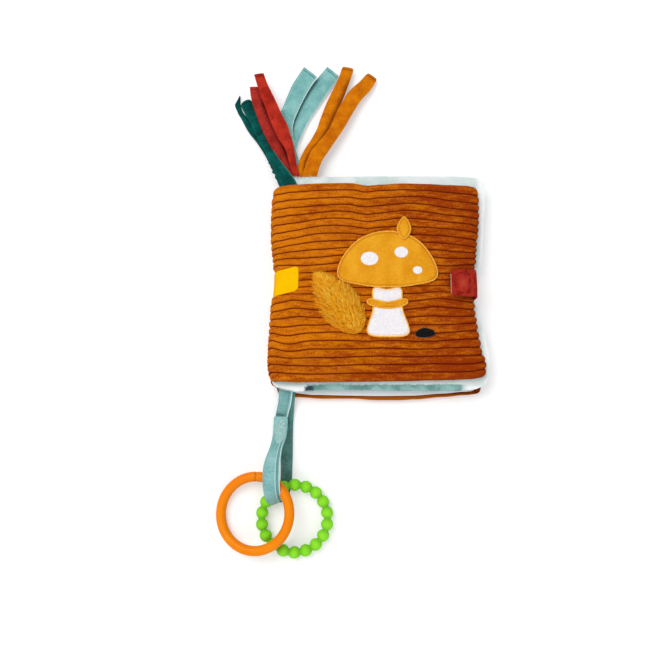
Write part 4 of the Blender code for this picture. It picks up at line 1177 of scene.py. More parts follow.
def sew(path, outs, step, length, radius):
    """Copies of one stitch along a path of points, each with its outward direction."""
    path, outs = np.asarray(path, float), np.asarray(outs, float)
    done = lengths_along(path)
    starts = np.arange(step / 2, done[-1] - length / 2, step)
    bpy.ops.object.select_all(action="DESELECT")
    bpy.ops.mesh.primitive_uv_sphere_add(segments=6, ring_count=5, radius=1.0, rotation=(0, math.pi / 2, 0))
    obj = bpy.context.object
    bpy.ops.object.transform_apply(location=False, rotation=True, scale=False)
    template = points_of(obj) * (length / 2, radius, radius * 0.8)
    faces = [tuple(p.vertices) for p in obj.data.polygons]
    points, polygons = [], []
    for start in starts:
        here = np.array([np.interp(start, done, path[:, k]) for k in range(3)])
        ahead = np.array([np.interp(start + 0.3 * MM, done, path[:, k]) for k in range(3)]) - here
        ahead /= max(np.linalg.norm(ahead), 1e-9)
        out = np.array([np.interp(start, done, outs[:, k]) for k in range(3)])
        side = np.cross(out, ahead)
        side /= max(np.linalg.norm(side), 1e-9)
        turned = template @ np.array([ahead, side, np.cross(ahead, side)])
        polygons += [tuple(v + len(points) * len(template) for v in face) for face in faces]
        points.append(turned + here)
    mesh = bpy.data.meshes.new("stitches")
    mesh.from_pydata(np.concatenate(points).tolist(), [], polygons)
    obj.data = mesh
    return obj


print("stitches can be sewn")

# %% The strap's stitches
pale_thread = thread_finish("pale_thread", linear(200, 226, 224), linear(160, 200, 197))
dark_thread = thread_finish("dark_thread", linear(60, 104, 104), linear(40, 80, 80))
yellow_thread = thread_finish("yellow_thread", linear(255, 196, 44), linear(226, 140, 14))
red_thread = thread_finish("red_thread", linear(214, 96, 82), linear(150, 44, 34))
for name, thread, strip, s, span, bend in (
    ("stub_stitches", dark_thread, stub, -0.46, (8, 46), at_foot),
    ("back_leg_stitches", dark_thread, back_leg, -0.42, (34, 92), at_foot),
    ("front_leg_stitches", pale_thread, front_leg, 0.46, (22, 84), at_fold),
):
    rows = np.linspace(*span, 160)
    line = strip.at(np.full(rows.shape, s), rows, 0.50 * MM)
    outs = strip.out[rows.astype(int)]
    finished(sew(line, outs, 2.0 * MM, 1.3 * MM, 0.2 * MM), name, thread, bends=bend)
print("strap stitched")

# %% [markdown]
# ## Label
# The yellow label is a folded satin tape that goes round the spine. It could be wrapped onto the cloth by a
# shrinkwrap, but that would copy every wale into it. Real tape bridges them, so it is laid by the cover's own
# rule, a little above. It parts where the spine bends, as the corduroy does. Satin is smooth, so its finish
# is an even yellow with a fine weave as a bump.

# %% The label's satin
LABEL_END_X, LABEL_MID_END, LABEL_MID_SPINE, LABEL_HALF = -59.6 * MM, 8.6 * MM, 3.6 * MM, 9.6 * MM


def satin_finish():
    satin = Finish("yellow_satin", roughness=0.8, Specular_IOR_Level=0.04)
    cloud = satin.noise(0.016, 2.0).above(0.5, 0.5)
    satin.colour(satin.blend(cloud, linear(248, 192, 0), linear(240, 176, 0)))
    weave = satin.noise(0.00035, 1.0, (4.0, 0.8, 1.0))
    satin.bump(weave, 0.10 * MM, 0.35)
    return satin


yellow_satin = satin_finish()
print("satin ready; the label is", round(2 * LABEL_HALF * 1000, 1), "mm wide")


# %% The label's two halves
def label(cover, flat_end):
    """The half of the label on a cover. Only the front half goes on over the flat of the cover."""
    across = np.concatenate((np.linspace(-1, 0, 16), np.linspace(0, 1, 18)[1:] if flat_end else []))
    rows = np.concatenate(([-1, -0.96], np.linspace(-0.9, 0.9, 17), [0.96, 1]))

    def place(q, t):
        start = along(cover.left, mix(LABEL_MID_SPINE, LABEL_MID_END, 0.3) + t * LABEL_HALF)
        turn = np.clip(q + 1, 0, 1) * math.pi / 2
        x = np.where(q < 0, start + SPINE_REACH * (1 - np.cos(turn)),
                     mix(start + SPINE_REACH, LABEL_END_X, np.clip(q, 0, 1)))
        middle = SPINE_MID + cover.up * 0.1 * MM
        z = mix(middle, cover.face, np.maximum(np.sin(turn), 0) ** 0.85)
        x = x - 0.9 * MM * np.cos(turn) ** 0.7
        along_x = np.clip((x - start) / (LABEL_END_X - start), 0, 1)
        to_end = np.clip((x - LABEL_END_X) / (3.5 * MM) + 1, 0, 1)
        half = LABEL_HALF - 3.0 * MM * (1 - np.sqrt(1 - to_end**2 * 0.98))
        y = mix(LABEL_MID_SPINE, LABEL_MID_END, along_x) + t * half
        points = np.stack((x, y, z), axis=-1)
        over = 0.9 + 0.35 * (1 - t**4) + 0.2 * grain(points, 8 * MM, 4.0)
        points[..., 2] += cover.up * over * MM * np.maximum(np.sin(turn), 0) ** 3
        return points, {"edge": np.abs(t)}

    obj = lay(across, rows, place)
    if cover.up < 0:
        turn_over(obj)
    return wall(obj, 0.6 * MM, -1.0)


finished(label(front, True), "spine_label_front", yellow_satin, stands_for=("spine_label_upper",),
         bends=upper_fold)
finished(label(back, False), "spine_label_back", yellow_satin, stands_for=("spine_label_lower",),
         bends=lower_fold)
print("label ready")

# %% [markdown]
# ## Closure strap
# The red closure strap is brushed tape, sewn into the back cover's seam. It comes up round the fore edge and
# holds onto a patch. A curve with a bevel could carry it, but the square that is stitched on it has to be
# pressed into its face. So it is a grid along a route in side view, and a rule presses the square in. The
# same rule tags the square, so that the finish darkens its pressed line as painted shade, and real stitches
# are sewn over it.

# %% The closure strap's tape
CLOSURE_MID, CLOSURE_HALF, CLOSURE_ROWS = 3.9 * MM, 10.3 * MM, 90
CLOSURE_ROUTE = ((55.2, 26.5), (60.0, 26.8), (65.0, 26.6), (69.0, 26.7), (72.2, 26.1), (73.9, 23.8),
                 (74.1, 19.0), (73.6, 14.0), (73.0, 9.5), (72.6, 6.4), (71.8, 5.0), (70.0, 4.6))


def tape_finish():
    """Brushed loop tape: fuzzy, with a lighter middle and painted shade along the stitched square."""
    tape = Finish("red_tape", roughness=0.9, Specular_IOR_Level=0.1, Sheen_Weight=0.15,
                  Sheen_Tint=linear(240, 110, 95))
    cloud = tape.noise(0.0045, 3.0) * 0.6 + tape.noise(0.0011, 3.0) * 0.5
    brushed = tape.blend(cloud.above(0.55, 0.35), linear(182, 46, 32), linear(128, 18, 10))
    # A lighter, mottled middle inside the stitched square.
    mottled_tone = tape.attribute("middle") * cloud.above(0.45, 0.3) * 0.6
    brushed = tape.blend(mottled_tone, brushed, linear(206, 82, 60))
    # Painted shade in the square's pressed line.
    tape.colour(tape.blend(tape.attribute("seam") * 0.75, brushed, linear(96, 10, 8)))
    fine = tape.bump(tape.noise(0.0004, 3.0), 0.3 * MM, 0.6)
    tape.bump(tape.noise(0.0025, 2.0), 0.5 * MM, 0.35, fine)
    return tape


red_tape = tape_finish()
print("red tape ready")


# %% The red closure strap
def closure_strap():
    """The strap, and how far along it each of its rows is."""
    line = route([(x, 0.0, z) for x, z in CLOSURE_ROUTE], CLOSURE_ROWS) * MM
    done = lengths_along(line)
    rows = np.concatenate(([-1, -0.97], np.linspace(-0.92, 0.92, 21), [0.97, 1]))

    def place(t, row):
        i = row.astype(int)
        past = np.clip(1 - done[i] / (3.6 * MM), 0, 1)
        half = CLOSURE_HALF - 3.4 * MM * (1 - np.sqrt(1 - past**2 * 0.98))
        points = np.stack((line[i, 0], CLOSURE_MID - t * half, line[i, 2]), axis=-1)
        box_x = (done[i] - 8.4 * MM) / (5.8 * MM)
        box = (np.abs(box_x) ** 5 + np.abs(t / 0.72) ** 5) ** 0.2
        seam = np.exp(-(((box - 1) / 0.075) ** 2))
        middle = np.clip(1 - box * 1.25, 0, 1)
        bulge = 0.35 * MM * (1 - t**4) + 0.25 * MM * grain(points, 5 * MM, 9.0) - 0.32 * MM * seam
        return points + normals_of(points) * bulge[..., None], {"seam": seam, "middle": middle}

    return wall(lay(rows, np.arange(float(CLOSURE_ROWS)), place), 1.3 * MM, 0.0), done


strap_mesh, strap_done = closure_strap()
at_fore_edge = ("back_cover", "closure", (76 * MM, 4 * MM, 5.0 * MM), (76 * MM, 4 * MM, 10.0 * MM))
closure = finished(strap_mesh, "closure_strap_cloth", red_tape, stands_for=("closure_strap",),
                   bends=at_fore_edge)
print("closure strap, mm long:", round(float(strap_done[-1]) * 1000, 1))

# %% The stitched square
UP = np.array([0.0, 0.0, 1.0])
turns = np.linspace(0, 2 * math.pi, 90)
bow = (np.abs(np.cos(turns)) ** 5 + np.abs(np.sin(turns)) ** 5) ** -0.2
square_x = 63.6 * MM + 5.8 * MM * bow * np.cos(turns)
square_y = CLOSURE_MID + 7.4 * MM * bow * np.sin(turns)
square_path = np.column_stack((square_x, square_y, np.full(len(turns), 27.3 * MM)))
finished(sew(square_path, np.tile(UP, (len(square_path), 1)), 1.7 * MM, 1.2 * MM, 0.17 * MM),
         "closure_stitches", red_thread, "closure")
print("square, mm wide:", round(float(np.ptp(square_x)) * 1000, 1))

# %% [markdown]
# ## Hook and loop patches
# The closure strap holds by hook tape on loop tape. The hook patch is a pale plastic weave with rows of tiny
# hooks, and it shows as a thin light line at the strap's tip. The loop patch is sewn onto the front cover.
# Single hooks would be thousands of pieces that nobody sees, so each patch is a softened box with low humps.

# %% The patches
def hook_finish():
    hooks = Finish("hook_tape", roughness=0.7, Specular_IOR_Level=0.4)
    speckle = hooks.noise(0.0008, 2.0).above(0.5, 0.3)
    hooks.colour(hooks.blend(speckle, linear(214, 200, 190), linear(176, 150, 140)))
    hooks.bump(hooks.noise(0.0006, 1.0), 0.4 * MM, 0.8)
    return hooks


def patch(x_low, x_high, half, low, high, step):
    """A box, softened and cut into rows of small humps."""
    bpy.ops.object.select_all(action="DESELECT")
    bpy.ops.mesh.primitive_cube_add(size=1, location=((x_low + x_high) / 2, CLOSURE_MID, (low + high) / 2))
    obj = bpy.context.object
    bpy.ops.transform.resize(value=(x_high - x_low, 2 * half, high - low))
    bpy.ops.object.transform_apply(location=True, rotation=True, scale=True)
    bpy.ops.object.mode_set(mode="EDIT")
    bpy.ops.mesh.select_all(action="SELECT")
    bpy.ops.mesh.bevel(offset=0.12 * MM, segments=2)
    bpy.ops.mesh.subdivide(number_cuts=12)
    bpy.ops.object.mode_set(mode="OBJECT")
    points = points_of(obj)
    humps = np.sin(points[:, 0] * 2 * math.pi / step) * np.sin(points[:, 1] * 2 * math.pi / step)
    points[:, 2] += humps * 0.08 * MM
    move_points(obj, points)
    return obj


hook_tape = hook_finish()
finished(patch(54.9 * MM, 68.0 * MM, 7.6 * MM, 24.9 * MM, 25.6 * MM, 1.5 * MM),
         "closure_hooks", hook_tape, "closure", ("closure_hook_patch",))
finished(patch(55.6 * MM, 67.0 * MM, 8.1 * MM, 24.2 * MM, 24.8 * MM, 2.2 * MM),
         "closure_loops", red_tape, "front_cover", ("closure_loop_patch",))
print("patches ready")

# %% [markdown]
# ## Applique
# The picture on the front is sewn from cut pieces: a mushroom with a velvet cap and a felt stem, a furry
# leaf, a small black pebble, and a velvet leaf that is sewn down only at its base. A piece could be a filled
# curve with a bevel, but its face would be one flat polygon that can't swell. So a piece is a flattened
# sphere whose outline is a smooth curve through a few points: its upper half swells like a thin cushion, and
# its lower half is the flat back.

# %% The picture's outlines
ART_X, ART_Y, ART_LEVEL = 6.0 * MM, 8.0 * MM, 24.9 * MM
CAP = ((-35, 0), (-33, 15), (-19, 31), (2, 37), (23, 31), (36, 15), (38, 0), (20, -5.5), (1, -7), (-17, -5.5))
STEM = ((-9.5, -8.0), (1, -8.4), (11.5, -8.0), (12.5, -24), (17, -42), (2, -45), (-14, -42), (-10, -24))
COLLAR = ((-12, -16), (1, -18.5), (14, -16), (15, -20.5), (1, -23.5), (-13, -20.5))
PEBBLE = ((22, -41), (28, -38), (35, -40), (36, -43.5), (29, -45.5), (22, -44.5))
FLAP = ((0, 0), (4.8, 5), (5.2, 11), (0.5, 18), (-4.6, 11), (-4.2, 5))
DOTS = {"cap_dot_large": (-12, 15, 7.0, 5.6), "cap_dot_middle": (12, 20, 5.4, 4.6),
        "cap_dot_small": (24, 6, 3.8, 3.2)}


def rounded(points, count=240):
    """A closed smooth curve through the points, in metres on the cover."""
    rows = np.array(points, float)
    if (rows[:-1, 0] * rows[1:, 1] - rows[1:, 0] * rows[:-1, 1]).sum() < 0:
        rows = rows[::-1]
    at = np.linspace(0, len(rows), count, endpoint=False)
    i = at.astype(int)
    around = (rows[(i + k) % len(rows)] for k in (-1, 0, 1, 2))
    return catmull(*around, (at - i)[:, None]) * MM + (ART_X, ART_Y)


cap, stem, collar, pebble = (rounded(points) for points in (CAP, STEM, COLLAR, PEBBLE))
print("the cap, mm:", [round(float(c) * 1000, 1) for c in np.ptp(cap, axis=0)])


# %% A cut piece from an outline
def cut_piece(outline, low, thickness, centre=None, hem=1.6 * MM, swell=0.0, rings=26, segments=120):
    """A flattened sphere inside an outline. It is pressed down in a line along its hem."""
    centre = outline.mean(axis=0) if centre is None else np.asarray(centre)
    bpy.ops.object.select_all(action="DESELECT")
    bpy.ops.mesh.primitive_uv_sphere_add(segments=segments, ring_count=2 * rings, radius=1.0)
    obj = bpy.context.object
    unit = points_of(obj)
    turn = np.arctan2(unit[:, 1], unit[:, 0]) % (2 * math.pi)
    level = np.clip(unit[:, 2], -1, 1)
    ring = np.arccos(np.abs(level)) / (math.pi / 2)
    spokes = outline - centre
    angle = np.unwrap(np.arctan2(spokes[:, 1], spokes[:, 0]))
    reach = np.linalg.norm(spokes, axis=1)
    order = np.argsort(angle % (2 * math.pi))
    far = np.interp(turn, (angle % (2 * math.pi))[order], reach[order], period=2 * math.pi)
    out = far * ring
    x, y = centre[0] + out * np.cos(turn), centre[1] + out * np.sin(turn)
    inside = far - out
    top = thickness * np.sqrt(1 - (1 - np.clip(inside / (0.8 * MM), 0, 1)) ** 2)
    top += swell * (1 - ring**2)
    top -= 0.35 * thickness * np.exp(-(((inside - hem) / (0.45 * MM)) ** 2))
    z = np.where(level > 1e-6, low + top, low)
    move_points(obj, np.stack((x, y, z), axis=-1))
    tag(obj, "inside", inside)
    return obj


print("pieces can be cut")


# %% Hems and piping
def inward_of(outline):
    """The direction to the inside of each point of an outline that runs counter-clockwise."""
    ahead = np.roll(outline, -1, axis=0) - np.roll(outline, 1, axis=0)
    ahead /= np.linalg.norm(ahead, axis=1, keepdims=True)
    return np.column_stack((-ahead[:, 1], ahead[:, 0]))


def piping(outline, inset, level, radius):
    """A thin satin cord along an outline: a torus with one ring of faces for each point of it."""
    bpy.ops.object.select_all(action="DESELECT")
    bpy.ops.mesh.primitive_torus_add(major_radius=1.0, minor_radius=radius, major_segments=len(outline),
                                     minor_segments=8)
    obj = bpy.context.object
    points = points_of(obj)
    turn = np.arctan2(points[:, 1], points[:, 0]) / (2 * math.pi)
    k = np.rint(turn * len(outline)).astype(int) % len(outline)
    outside = np.hypot(points[:, 0], points[:, 1]) - 1.0
    points[:, :2] = outline[k] + inward_of(outline)[k] * (inset - outside)[:, None]
    points[:, 2] += level
    move_points(obj, points)
    return obj


def hem_stitches(outline, inset, level, step, length, radius):
    line = outline + inward_of(outline) * inset
    path = np.column_stack((line, np.full(len(line), level)))
    path = np.vstack((path, path[:1]))
    return sew(path, np.tile(UP, (len(path), 1)), step, length, radius)


print("the cap's edge, mm long:", round(float(lengths_along(cap)[-1]) * 1000, 1))

# %% [markdown]
# ### Velvet and felt
# The mushroom's velvet is golden and has a pressed line along its hem, which the inside tag finds and the
# finish darkens as painted shade. Felt has no weave at all: its fibres lie in every direction. One fine noise
# gives both its mottled shade and its rough surface, so that a pale fibre is also a raised one.

# %% The applique's finishes
def short_velvet():
    velvet = Finish("golden_velvet", roughness=0.9, Specular_IOR_Level=0.1, Sheen_Weight=0.12,
                    Sheen_Roughness=0.4, Sheen_Tint=linear(255, 214, 130))
    nap = velvet.noise(0.012, 3.0, (1.0, 1.8, 1.0)) * 0.7 + velvet.noise(0.0015, 3.0) * 0.35
    pile = velvet.blend(nap.above(0.52, 0.35), linear(237, 167, 38), linear(216, 140, 10))
    hem = velvet.attribute("inside")
    # Painted shade along the pressed line inside the hem.
    pressed = hem.above(1.1 * MM, 0.5 * MM) * (1 - hem.above(2.2 * MM, 0.6 * MM))
    velvet.colour(velvet.blend(pressed * 0.5, pile, linear(190, 110, 14)))
    velvet.bump(velvet.noise(0.0005, 3.0), 0.3 * MM, 0.5)
    return velvet


def felt_finish(name, light, dark):
    felt = Finish(name, roughness=0.97, Specular_IOR_Level=0.15, Sheen_Weight=0.2)
    fibre = felt.noise(0.0012, 4.0, roughness=0.7)
    felt.colour(felt.blend(fibre.above(0.5, 0.4), light, dark))
    felt.bump(fibre, 0.25 * MM, 0.6)
    return felt


golden_velvet = short_velvet()
white_felt = felt_finish("white_felt", linear(248, 244, 246), linear(228, 224, 228))
black_felt = felt_finish("black_felt", linear(10, 8, 8), linear(3, 2, 2))
print("applique finishes ready")

# %% Mushroom and pebble
stem_middle, cap_middle, collar_middle = (np.array([ART_X + x * MM, ART_Y + y * MM])
                                          for x, y in ((1.5, -28), (1.5, 10), (1, -20.2)))
finished(cut_piece(stem, ART_LEVEL, 0.9 * MM, stem_middle),
         "mushroom_stem_felt", white_felt, "front_cover", ("mushroom_stem",))
finished(cut_piece(cap, ART_LEVEL, 1.3 * MM, cap_middle, swell=0.5 * MM),
         "mushroom_cap_velvet", golden_velvet, "front_cover", ("mushroom_cap",))
finished(cut_piece(collar, ART_LEVEL + 0.75 * MM, 0.9 * MM, collar_middle, segments=96, rings=16),
         "mushroom_collar_velvet", golden_velvet, "front_cover", ("mushroom_collar",))
finished(cut_piece(pebble, ART_LEVEL, 1.2 * MM, swell=0.3 * MM, rings=16, segments=80),
         "felt_pebble_cloth", black_felt, "front_cover", ("felt_pebble",))
for name, (x, y, wide, tall) in DOTS.items():
    dot = rounded([(x + wide * math.cos(a), y + tall * math.sin(a)) for a in np.arange(8) * math.pi / 4])
    finished(cut_piece(dot, ART_LEVEL + 1.25 * MM, 0.8 * MM, rings=12, segments=64, swell=0.2 * MM),
             name + "_felt", white_felt, "front_cover", (name,))
print("mushroom and pebble sewn on")

# %% [markdown]
# ### Piping, hem stitches and the flap
# A thin satin cord runs round each velvet piece, and a row of stitches inside it holds the hem. A curve could
# be bevelled into a cord. Here it is a torus drawn out to the outline, which is a mesh from the start and
# keeps its faces even. The small flap has the same cord. It lies on the cap and isn't part of it, because it
# is sewn down only at its base and can be lifted.

# %% Cords, stitches and the flap
for name, outline, level in (("cap", cap, 0.85), ("stem", stem, 0.55), ("collar", collar, 1.35)):
    finished(piping(outline, 0.25 * MM, ART_LEVEL + level * MM, 0.58 * MM),
             name + "_piping", yellow_thread, "front_cover")
    finished(hem_stitches(outline, 1.6 * MM, ART_LEVEL + (level + 0.15) * MM, 1.7 * MM, 1.35 * MM, 0.19 * MM),
             name + "_stitches", yellow_thread, "front_cover")
flap_edge = rounded(FLAP) + (14 * MM, 30 * MM)
finished(cut_piece(flap_edge, ART_LEVEL + 1.85 * MM, 0.9 * MM, rings=14, segments=72, hem=1.2 * MM),
         "leaf_flap_velvet", golden_velvet, "flap", ("leaf_flap",))
finished(piping(flap_edge, 0.2 * MM, ART_LEVEL + 2.3 * MM, 0.4 * MM),
         "flap_piping", yellow_thread, "flap")
print("applique sewn")

# %% [markdown]
# ## Faux fur
# Long-haired fur is many tapered strands that lean one way and cover each other. Blender's hair would grow it
# quickly, but hair isn't part of a mesh and gets lost when the model is handed over. So one strand is
# modelled, a thin cone of three sides cut into four lengths. It is copied over the leaf's upper face, and
# each copy gets its own length, lean and bend. The random numbers are seeded, so every run grows the same
# fur. The strands are bright at the tip and darker at the root, as painted shade, and each clump has its own
# tint.

# %% Fur's finish
FUR_BASE, FUR_TIP = np.array([-19.0, -41.0]) * MM, np.array([-52.0, 2.0]) * MM
FUR_HALF, FUR_HIGH = 13.5 * MM, 4.0 * MM
HAIRS, HAIRS_IN_CLUMP = 5600, 8


def fur_finish(name, light, dark, shade):
    fur = Finish(name, roughness=0.9, Specular_IOR_Level=0.04, Sheen_Weight=0.05, Sheen_Tint=light)
    streak = fur.attribute("tint") * 0.55 + fur.noise(0.0020, 2.0) * 0.35 + fur.noise(0.0100, 2.0) * 0.25
    pile = fur.blend(streak.above(0.55, 0.50), light, dark)
    # Painted shade: the strands, and the white tufts too, are darker towards the root, where the hairs shade
    # each other.
    fur.colour(fur.blend(fur.attribute("root").above(0.35, 0.8), shade, pile))
    return fur


golden_fur = fur_finish("golden_fur", linear(255, 208, 66), linear(252, 178, 30), linear(232, 142, 12))
print("golden fur ready")


# %% One strand and its copies
def one_strand():
    """A three-sided cone on its base, 1 high, with three cuts round it so that it can bend."""
    bpy.ops.object.select_all(action="DESELECT")
    bpy.ops.mesh.primitive_cone_add(vertices=3, radius1=1.0, radius2=0.0, depth=1.0, location=(0.0, 0.0, 0.5))
    bpy.ops.object.transform_apply(location=True, rotation=True, scale=True)
    obj = bpy.context.object
    for level in (0.25, 0.50, 0.75):
        in_edit_mode(obj, bpy.ops.mesh.bisect, plane_co=(0.0, 0.0, level), plane_no=(0.0, 0.0, 1.0))
    return obj


def strands(roots, outs, leans, lengths, radius, seed, tints=None):
    """Copies of the strand on the roots, each leaning one way and drooping at its tip."""
    chance = random.Random(seed)
    obj = one_strand()
    faces = [tuple(p.vertices) for p in obj.data.polygons]
    x, y, t = points_of(obj).T
    thin = (1 - 0.8 * t) / np.maximum(1 - t, 1e-9)
    x, y = (np.where(t > 0.99, 0.0, c * thin * radius)[:, None] for c in (y, x))
    t = t[:, None]
    points, polygons = [], []
    for number, (root, out, lean, length) in enumerate(zip(roots, outs, leans, lengths)):
        axis = out / np.linalg.norm(out)
        side = np.cross(axis, lean)
        side /= max(np.linalg.norm(side), 1e-9)
        bend = chance.uniform(0.75, 1.25)
        middle = root + (axis * t * (1 - 0.45 * t) + lean * t * t * bend) * length
        points.append(middle + side * x + np.cross(axis, side) * y)
        polygons += [tuple(v + number * len(t) for v in face) for face in faces]
    mesh = bpy.data.meshes.new("strands")
    mesh.from_pydata(np.concatenate(points).tolist(), [], polygons)
    obj.data = mesh
    tag(obj, "root", np.tile(t.ravel(), len(roots)))
    tag(obj, "tint", np.repeat(np.full(len(roots), 0.5) if tints is None else tints, len(t)))
    return in_edit_mode(obj, bpy.ops.mesh.normals_make_consistent, inside=False)


print("one strand can be copied", HAIRS, "times")


# %% The furry leaf's backing
def fur_leaf_surface(s, t):
    """The leaf's upper face: s runs from -1 at its base to 1 at its tip, t across it."""
    length = np.linalg.norm(FUR_TIP - FUR_BASE) / 2
    ahead = (FUR_TIP - FUR_BASE) / (2 * length)
    across = np.array([-ahead[1], ahead[0]])
    middle = (FUR_TIP + FUR_BASE) / 2 + (ART_X, ART_Y)
    ahead_part = np.clip(s, 0, 0.995)
    narrow = np.where(s > 0, (1 - ahead_part**1.7) / np.sqrt(1 - ahead_part**2), 1.0)
    flat = middle + np.multiply.outer(s * length, ahead) + np.multiply.outer(t * FUR_HALF * narrow, across)
    height = np.sqrt(np.maximum(0, 1 - s**2 - t**2))
    return np.column_stack((flat, ART_LEVEL + 0.2 * MM + height * FUR_HIGH)), ahead, across


spots_round = np.array([(math.cos(a), math.sin(a)) for a in np.linspace(0, 2 * math.pi, 120, endpoint=False)])
leaf_ring, _, _ = fur_leaf_surface(spots_round[:, 0], spots_round[:, 1])
leaf_outline = leaf_ring[:, :2]
backing = cut_piece(leaf_outline, ART_LEVEL, 0.8 * MM, leaf_outline.mean(axis=0), swell=2.4 * MM, rings=18,
                    segments=96)
for name in ("root", "tint"):
    tag(backing, name, np.full(len(backing.data.vertices), 0.5))
finished(backing, "fur_leaf_backing", golden_fur, "front_cover", ("fur_leaf",))
print("backing:", len(backing.data.polygons), "faces")


# %% The furry leaf's hair
def fur_leaf():
    """Hairs in clumps: each hair leans towards its clump's tip, and a clump has its own tint."""
    chance = random.Random(12)
    spots, clumps = [], []
    while len(spots) < HAIRS:
        s, t = chance.uniform(-1, 1), chance.uniform(-1, 1)
        if s * s + t * t < 0.97:
            spots.append((s, t))
            if len(spots) % HAIRS_IN_CLUMP == 0:
                clumps.append((s, t, chance.random()))
    s, t = np.array(spots).T
    clumps = np.array(clumps)
    roots, ahead, across = fur_leaf_surface(s, t)
    heads, _, _ = fur_leaf_surface(clumps[:, 0], clumps[:, 1])
    nearest = np.argmin(np.linalg.norm(roots[:, None, :2] - heads[None, :, :2], axis=2), axis=1)
    outs = np.column_stack((np.multiply.outer(s * 0.2, ahead) + np.multiply.outer(t * 0.9, across),
                            np.sqrt(np.maximum(0.05, 1 - s**2 - t**2)) * 0.8))
    leans = []
    for k in range(len(spots)):
        gather = (heads[nearest[k], :2] - roots[k, :2]) / (4.0 * MM)
        side = (clumps[nearest[k], 2] - 0.5) * 0.7 + 0.3 * t[k] + chance.uniform(-0.18, 0.18)
        way = ahead * (0.85 + chance.uniform(-0.15, 0.15)) + across * side + gather * 0.55
        leans.append((way[0], way[1], -0.10))
    lengths = [chance.uniform(3.2, 4.8) * (0.88 + 0.22 * clumps[k, 2]) * MM for k in nearest]
    return strands(roots, outs, np.array(leans), lengths, 0.19 * MM, 5, clumps[nearest, 2])


fur = finished(fur_leaf(), "fur_leaf_hair", golden_fur, "front_cover")
bpy.ops.object.shade_flat()
print("fur:", len(fur.data.polygons), "faces")

# %% [markdown]
# ## Fuzzy edges of the leaf
# The plush is cut long at the leaf's foot, so white tufts show between the covers, thickest near the spine,
# and a few show at its head near the ribbons. A bump can't break up the leaf's outline, and the tufts do, so
# they are the same strands as the fur, only shorter and softer.

# %% White tufts
FOOT_TUFTS, HEAD_TUFTS = 1500, 260


def tufts():
    chance = random.Random(31)
    roots, outs, leans, lengths = [], [], [], []
    for _ in range(FOOT_TUFTS):
        a = chance.random() ** 1.7
        x = mix(-74.0, 71.0, a) * MM
        near_spine = 1 - min(1.0, max(0.0, (x + 52 * MM) / (16 * MM)))
        _, y = leaf_spot(np.array([(x / MM + 77) / 160 * 2 - 1]), np.array([-1.0]))
        z = chance.uniform(12.0, 14.8) * MM
        roots.append((x, float(y[0]) + 1.0 * MM, z))
        outs.append((chance.uniform(-0.25, 0.25), -1.0, chance.uniform(-0.1, 0.55)))
        leans.append((chance.uniform(-0.3, 0.3), -0.35, -0.25))
        lengths.append((1.0 + 0.3 * near_spine + chance.uniform(-0.4, 0.4)) * MM)
    for _ in range(HEAD_TUFTS):
        roots.append(tuple(chance.uniform(*span) * MM for span in ((-68, -44), (90.6, 93.0), (13.2, 16.0))))
        outs.append((chance.uniform(-0.4, 0.4), 0.8, chance.uniform(0.2, 0.9)))
        leans.append((chance.uniform(-0.5, 0.5), 0.2, -0.1))
        lengths.append(chance.uniform(0.8, 1.6) * MM)
    return strands(np.array(roots), np.array(outs), np.array(leans), lengths, 0.13 * MM, 8)


white_fuzz = fur_finish("white_fuzz", linear(236, 240, 242), linear(212, 222, 224), linear(190, 205, 205))
finished(tufts(), "leaf_tufts", white_fuzz, "leaf")
print("tufts:", FOOT_TUFTS, "at the foot,", HEAD_TUFTS, "at the head")

# %% [markdown]
# ## Rings
# The orange ring is hard plastic with a fine seam where its two ends were welded. The green ring is soft
# silicone: eighteen balls in one moulding, so its tube swells and narrows, and where the balls meet there is
# a neck. Eighteen spheres in a row would leave sharp creases and hidden faces inside. Both rings are a torus
# on their joint's axis whose tube grows and shrinks round the turn, so each stays one closed skin. Both have
# the same finish with other numbers: a little cloud in the colour, a roughness that varies slightly, and a
# darker colour in the dents, which is the orange ring's seam line and painted shade in the green ring's
# necks.

# %% The rings' sizes and finish
RING_RADIUS, RING_TUBE = 26.4 * MM, 3.65 * MM
BEAD_RADIUS, BEADS, BEAD_TUBE, BEAD_NECK = 24.1 * MM, 18, 4.5 * MM, 0.5
SEAM_ANGLE = math.radians(88.0)


def moulded_finish(name, colour, deep, roughness, coat, grain_size, groove, share):
    plastic = Finish(name, roughness=roughness, Specular_IOR_Level=0.10, Coat_Weight=coat,
                     Coat_Roughness=0.25)
    clouded = plastic.blend(plastic.noise(0.02, 2.0).above(0.5, 0.6), colour, deep)
    # The groove tag darkens the orange ring's seam, and the necks between the green balls as painted shade.
    plastic.colour(plastic.blend(plastic.attribute("groove") * share, clouded, groove))
    rough = plastic.noise(grain_size, 2.0) * 0.14 + (roughness - 0.07)
    plastic.feed(plastic.shader.inputs["Roughness"], rough)
    plastic.bump(plastic.noise(grain_size, 2.0), 0.05 * MM, 0.25)
    return plastic


print("orange ring:", round(2000 * (RING_RADIUS + RING_TUBE), 1), "mm across")


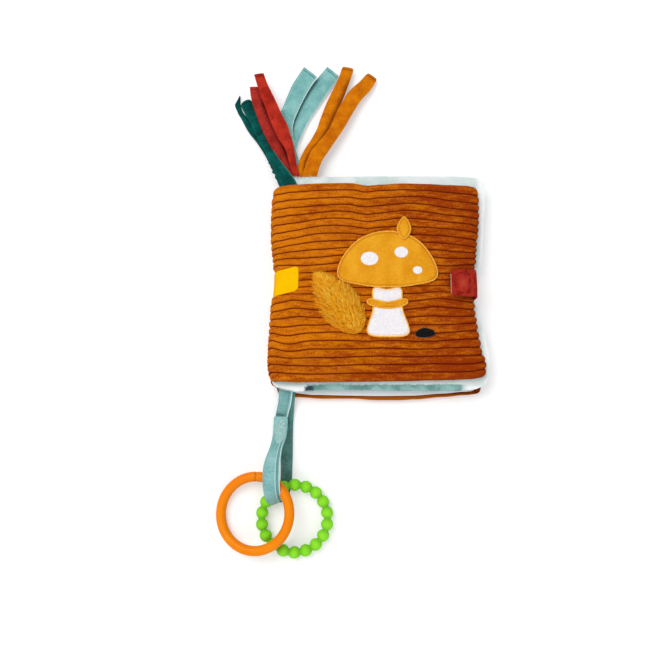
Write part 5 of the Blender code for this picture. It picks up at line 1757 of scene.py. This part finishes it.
# %% The rings' shapes
def ring(joint, radius, tube, segments, sides, shape):
    """A torus on its joint's axis, its tube made as thick as shape(turn) says."""
    turning = next(j for j in frame["joints"] if j["name"] == joint)
    bpy.ops.object.select_all(action="DESELECT")
    bpy.ops.mesh.primitive_torus_add(major_radius=radius, minor_radius=tube, major_segments=segments,
                                     minor_segments=sides)
    obj = bpy.context.object
    points = points_of(obj)
    turn = np.arctan2(points[:, 1], points[:, 0])
    middle = np.column_stack((np.cos(turn), np.sin(turn), np.zeros(len(turn)))) * radius
    points = middle + (points - middle) * shape(turn)[:, None]
    tag(obj, "groove", 1 - shape(turn))
    upright = Vector((0, 0, 1)).rotation_difference(Vector(turning["axis"])).to_matrix()
    points = points @ np.array(upright).T + np.array(turning["pos_m"])
    move_points(obj, points)
    return obj


def seam(turn):
    off = np.abs((turn - SEAM_ANGLE + math.pi) % (2 * math.pi) - math.pi)
    return 1 - 0.12 * np.exp(-((off * RING_RADIUS / (0.45 * MM)) ** 2))


def balls(turn):
    phase = turn / (2 * math.pi) * BEADS % 1.0 - 0.5
    off = 2 * phase * math.pi * BEAD_RADIUS / BEADS
    return np.maximum(BEAD_NECK, np.sqrt(np.maximum(0, BEAD_TUBE**2 - off**2)) / BEAD_TUBE)


print("at its necks the green tube keeps", BEAD_NECK, "of its width")

# %% The two rings
orange_plastic = moulded_finish("orange_plastic", linear(246, 142, 0), linear(240, 122, 0), roughness=0.34,
                                coat=0.03, grain_size=0.0008, groove=linear(150, 60, 0), share=6.0)
green_silicone = moulded_finish("green_silicone", linear(146, 230, 50), linear(128, 216, 34), roughness=0.45,
                                coat=0.0, grain_size=0.0005, groove=linear(70, 150, 10), share=0.9)
finished(ring("orange_ring_turn", RING_RADIUS, RING_TUBE, 260, 32, seam),
         "orange_ring_moulded", orange_plastic, "orange_ring", ("orange_ring",))
finished(ring("green_ring_turn", BEAD_RADIUS, BEAD_TUBE, 20 * BEADS, 28, balls),
         "green_bead_ring_moulded", green_silicone, "green_bead_ring", ("green_bead_ring",))
print("rings ready")

# %% [markdown]
# ## Count
# The number of finished pieces and of their faces is printed.

# %% Pieces and faces
print("pieces:", len(PIECES), "faces:", sum(len(o.data.polygons) for o in PIECES))
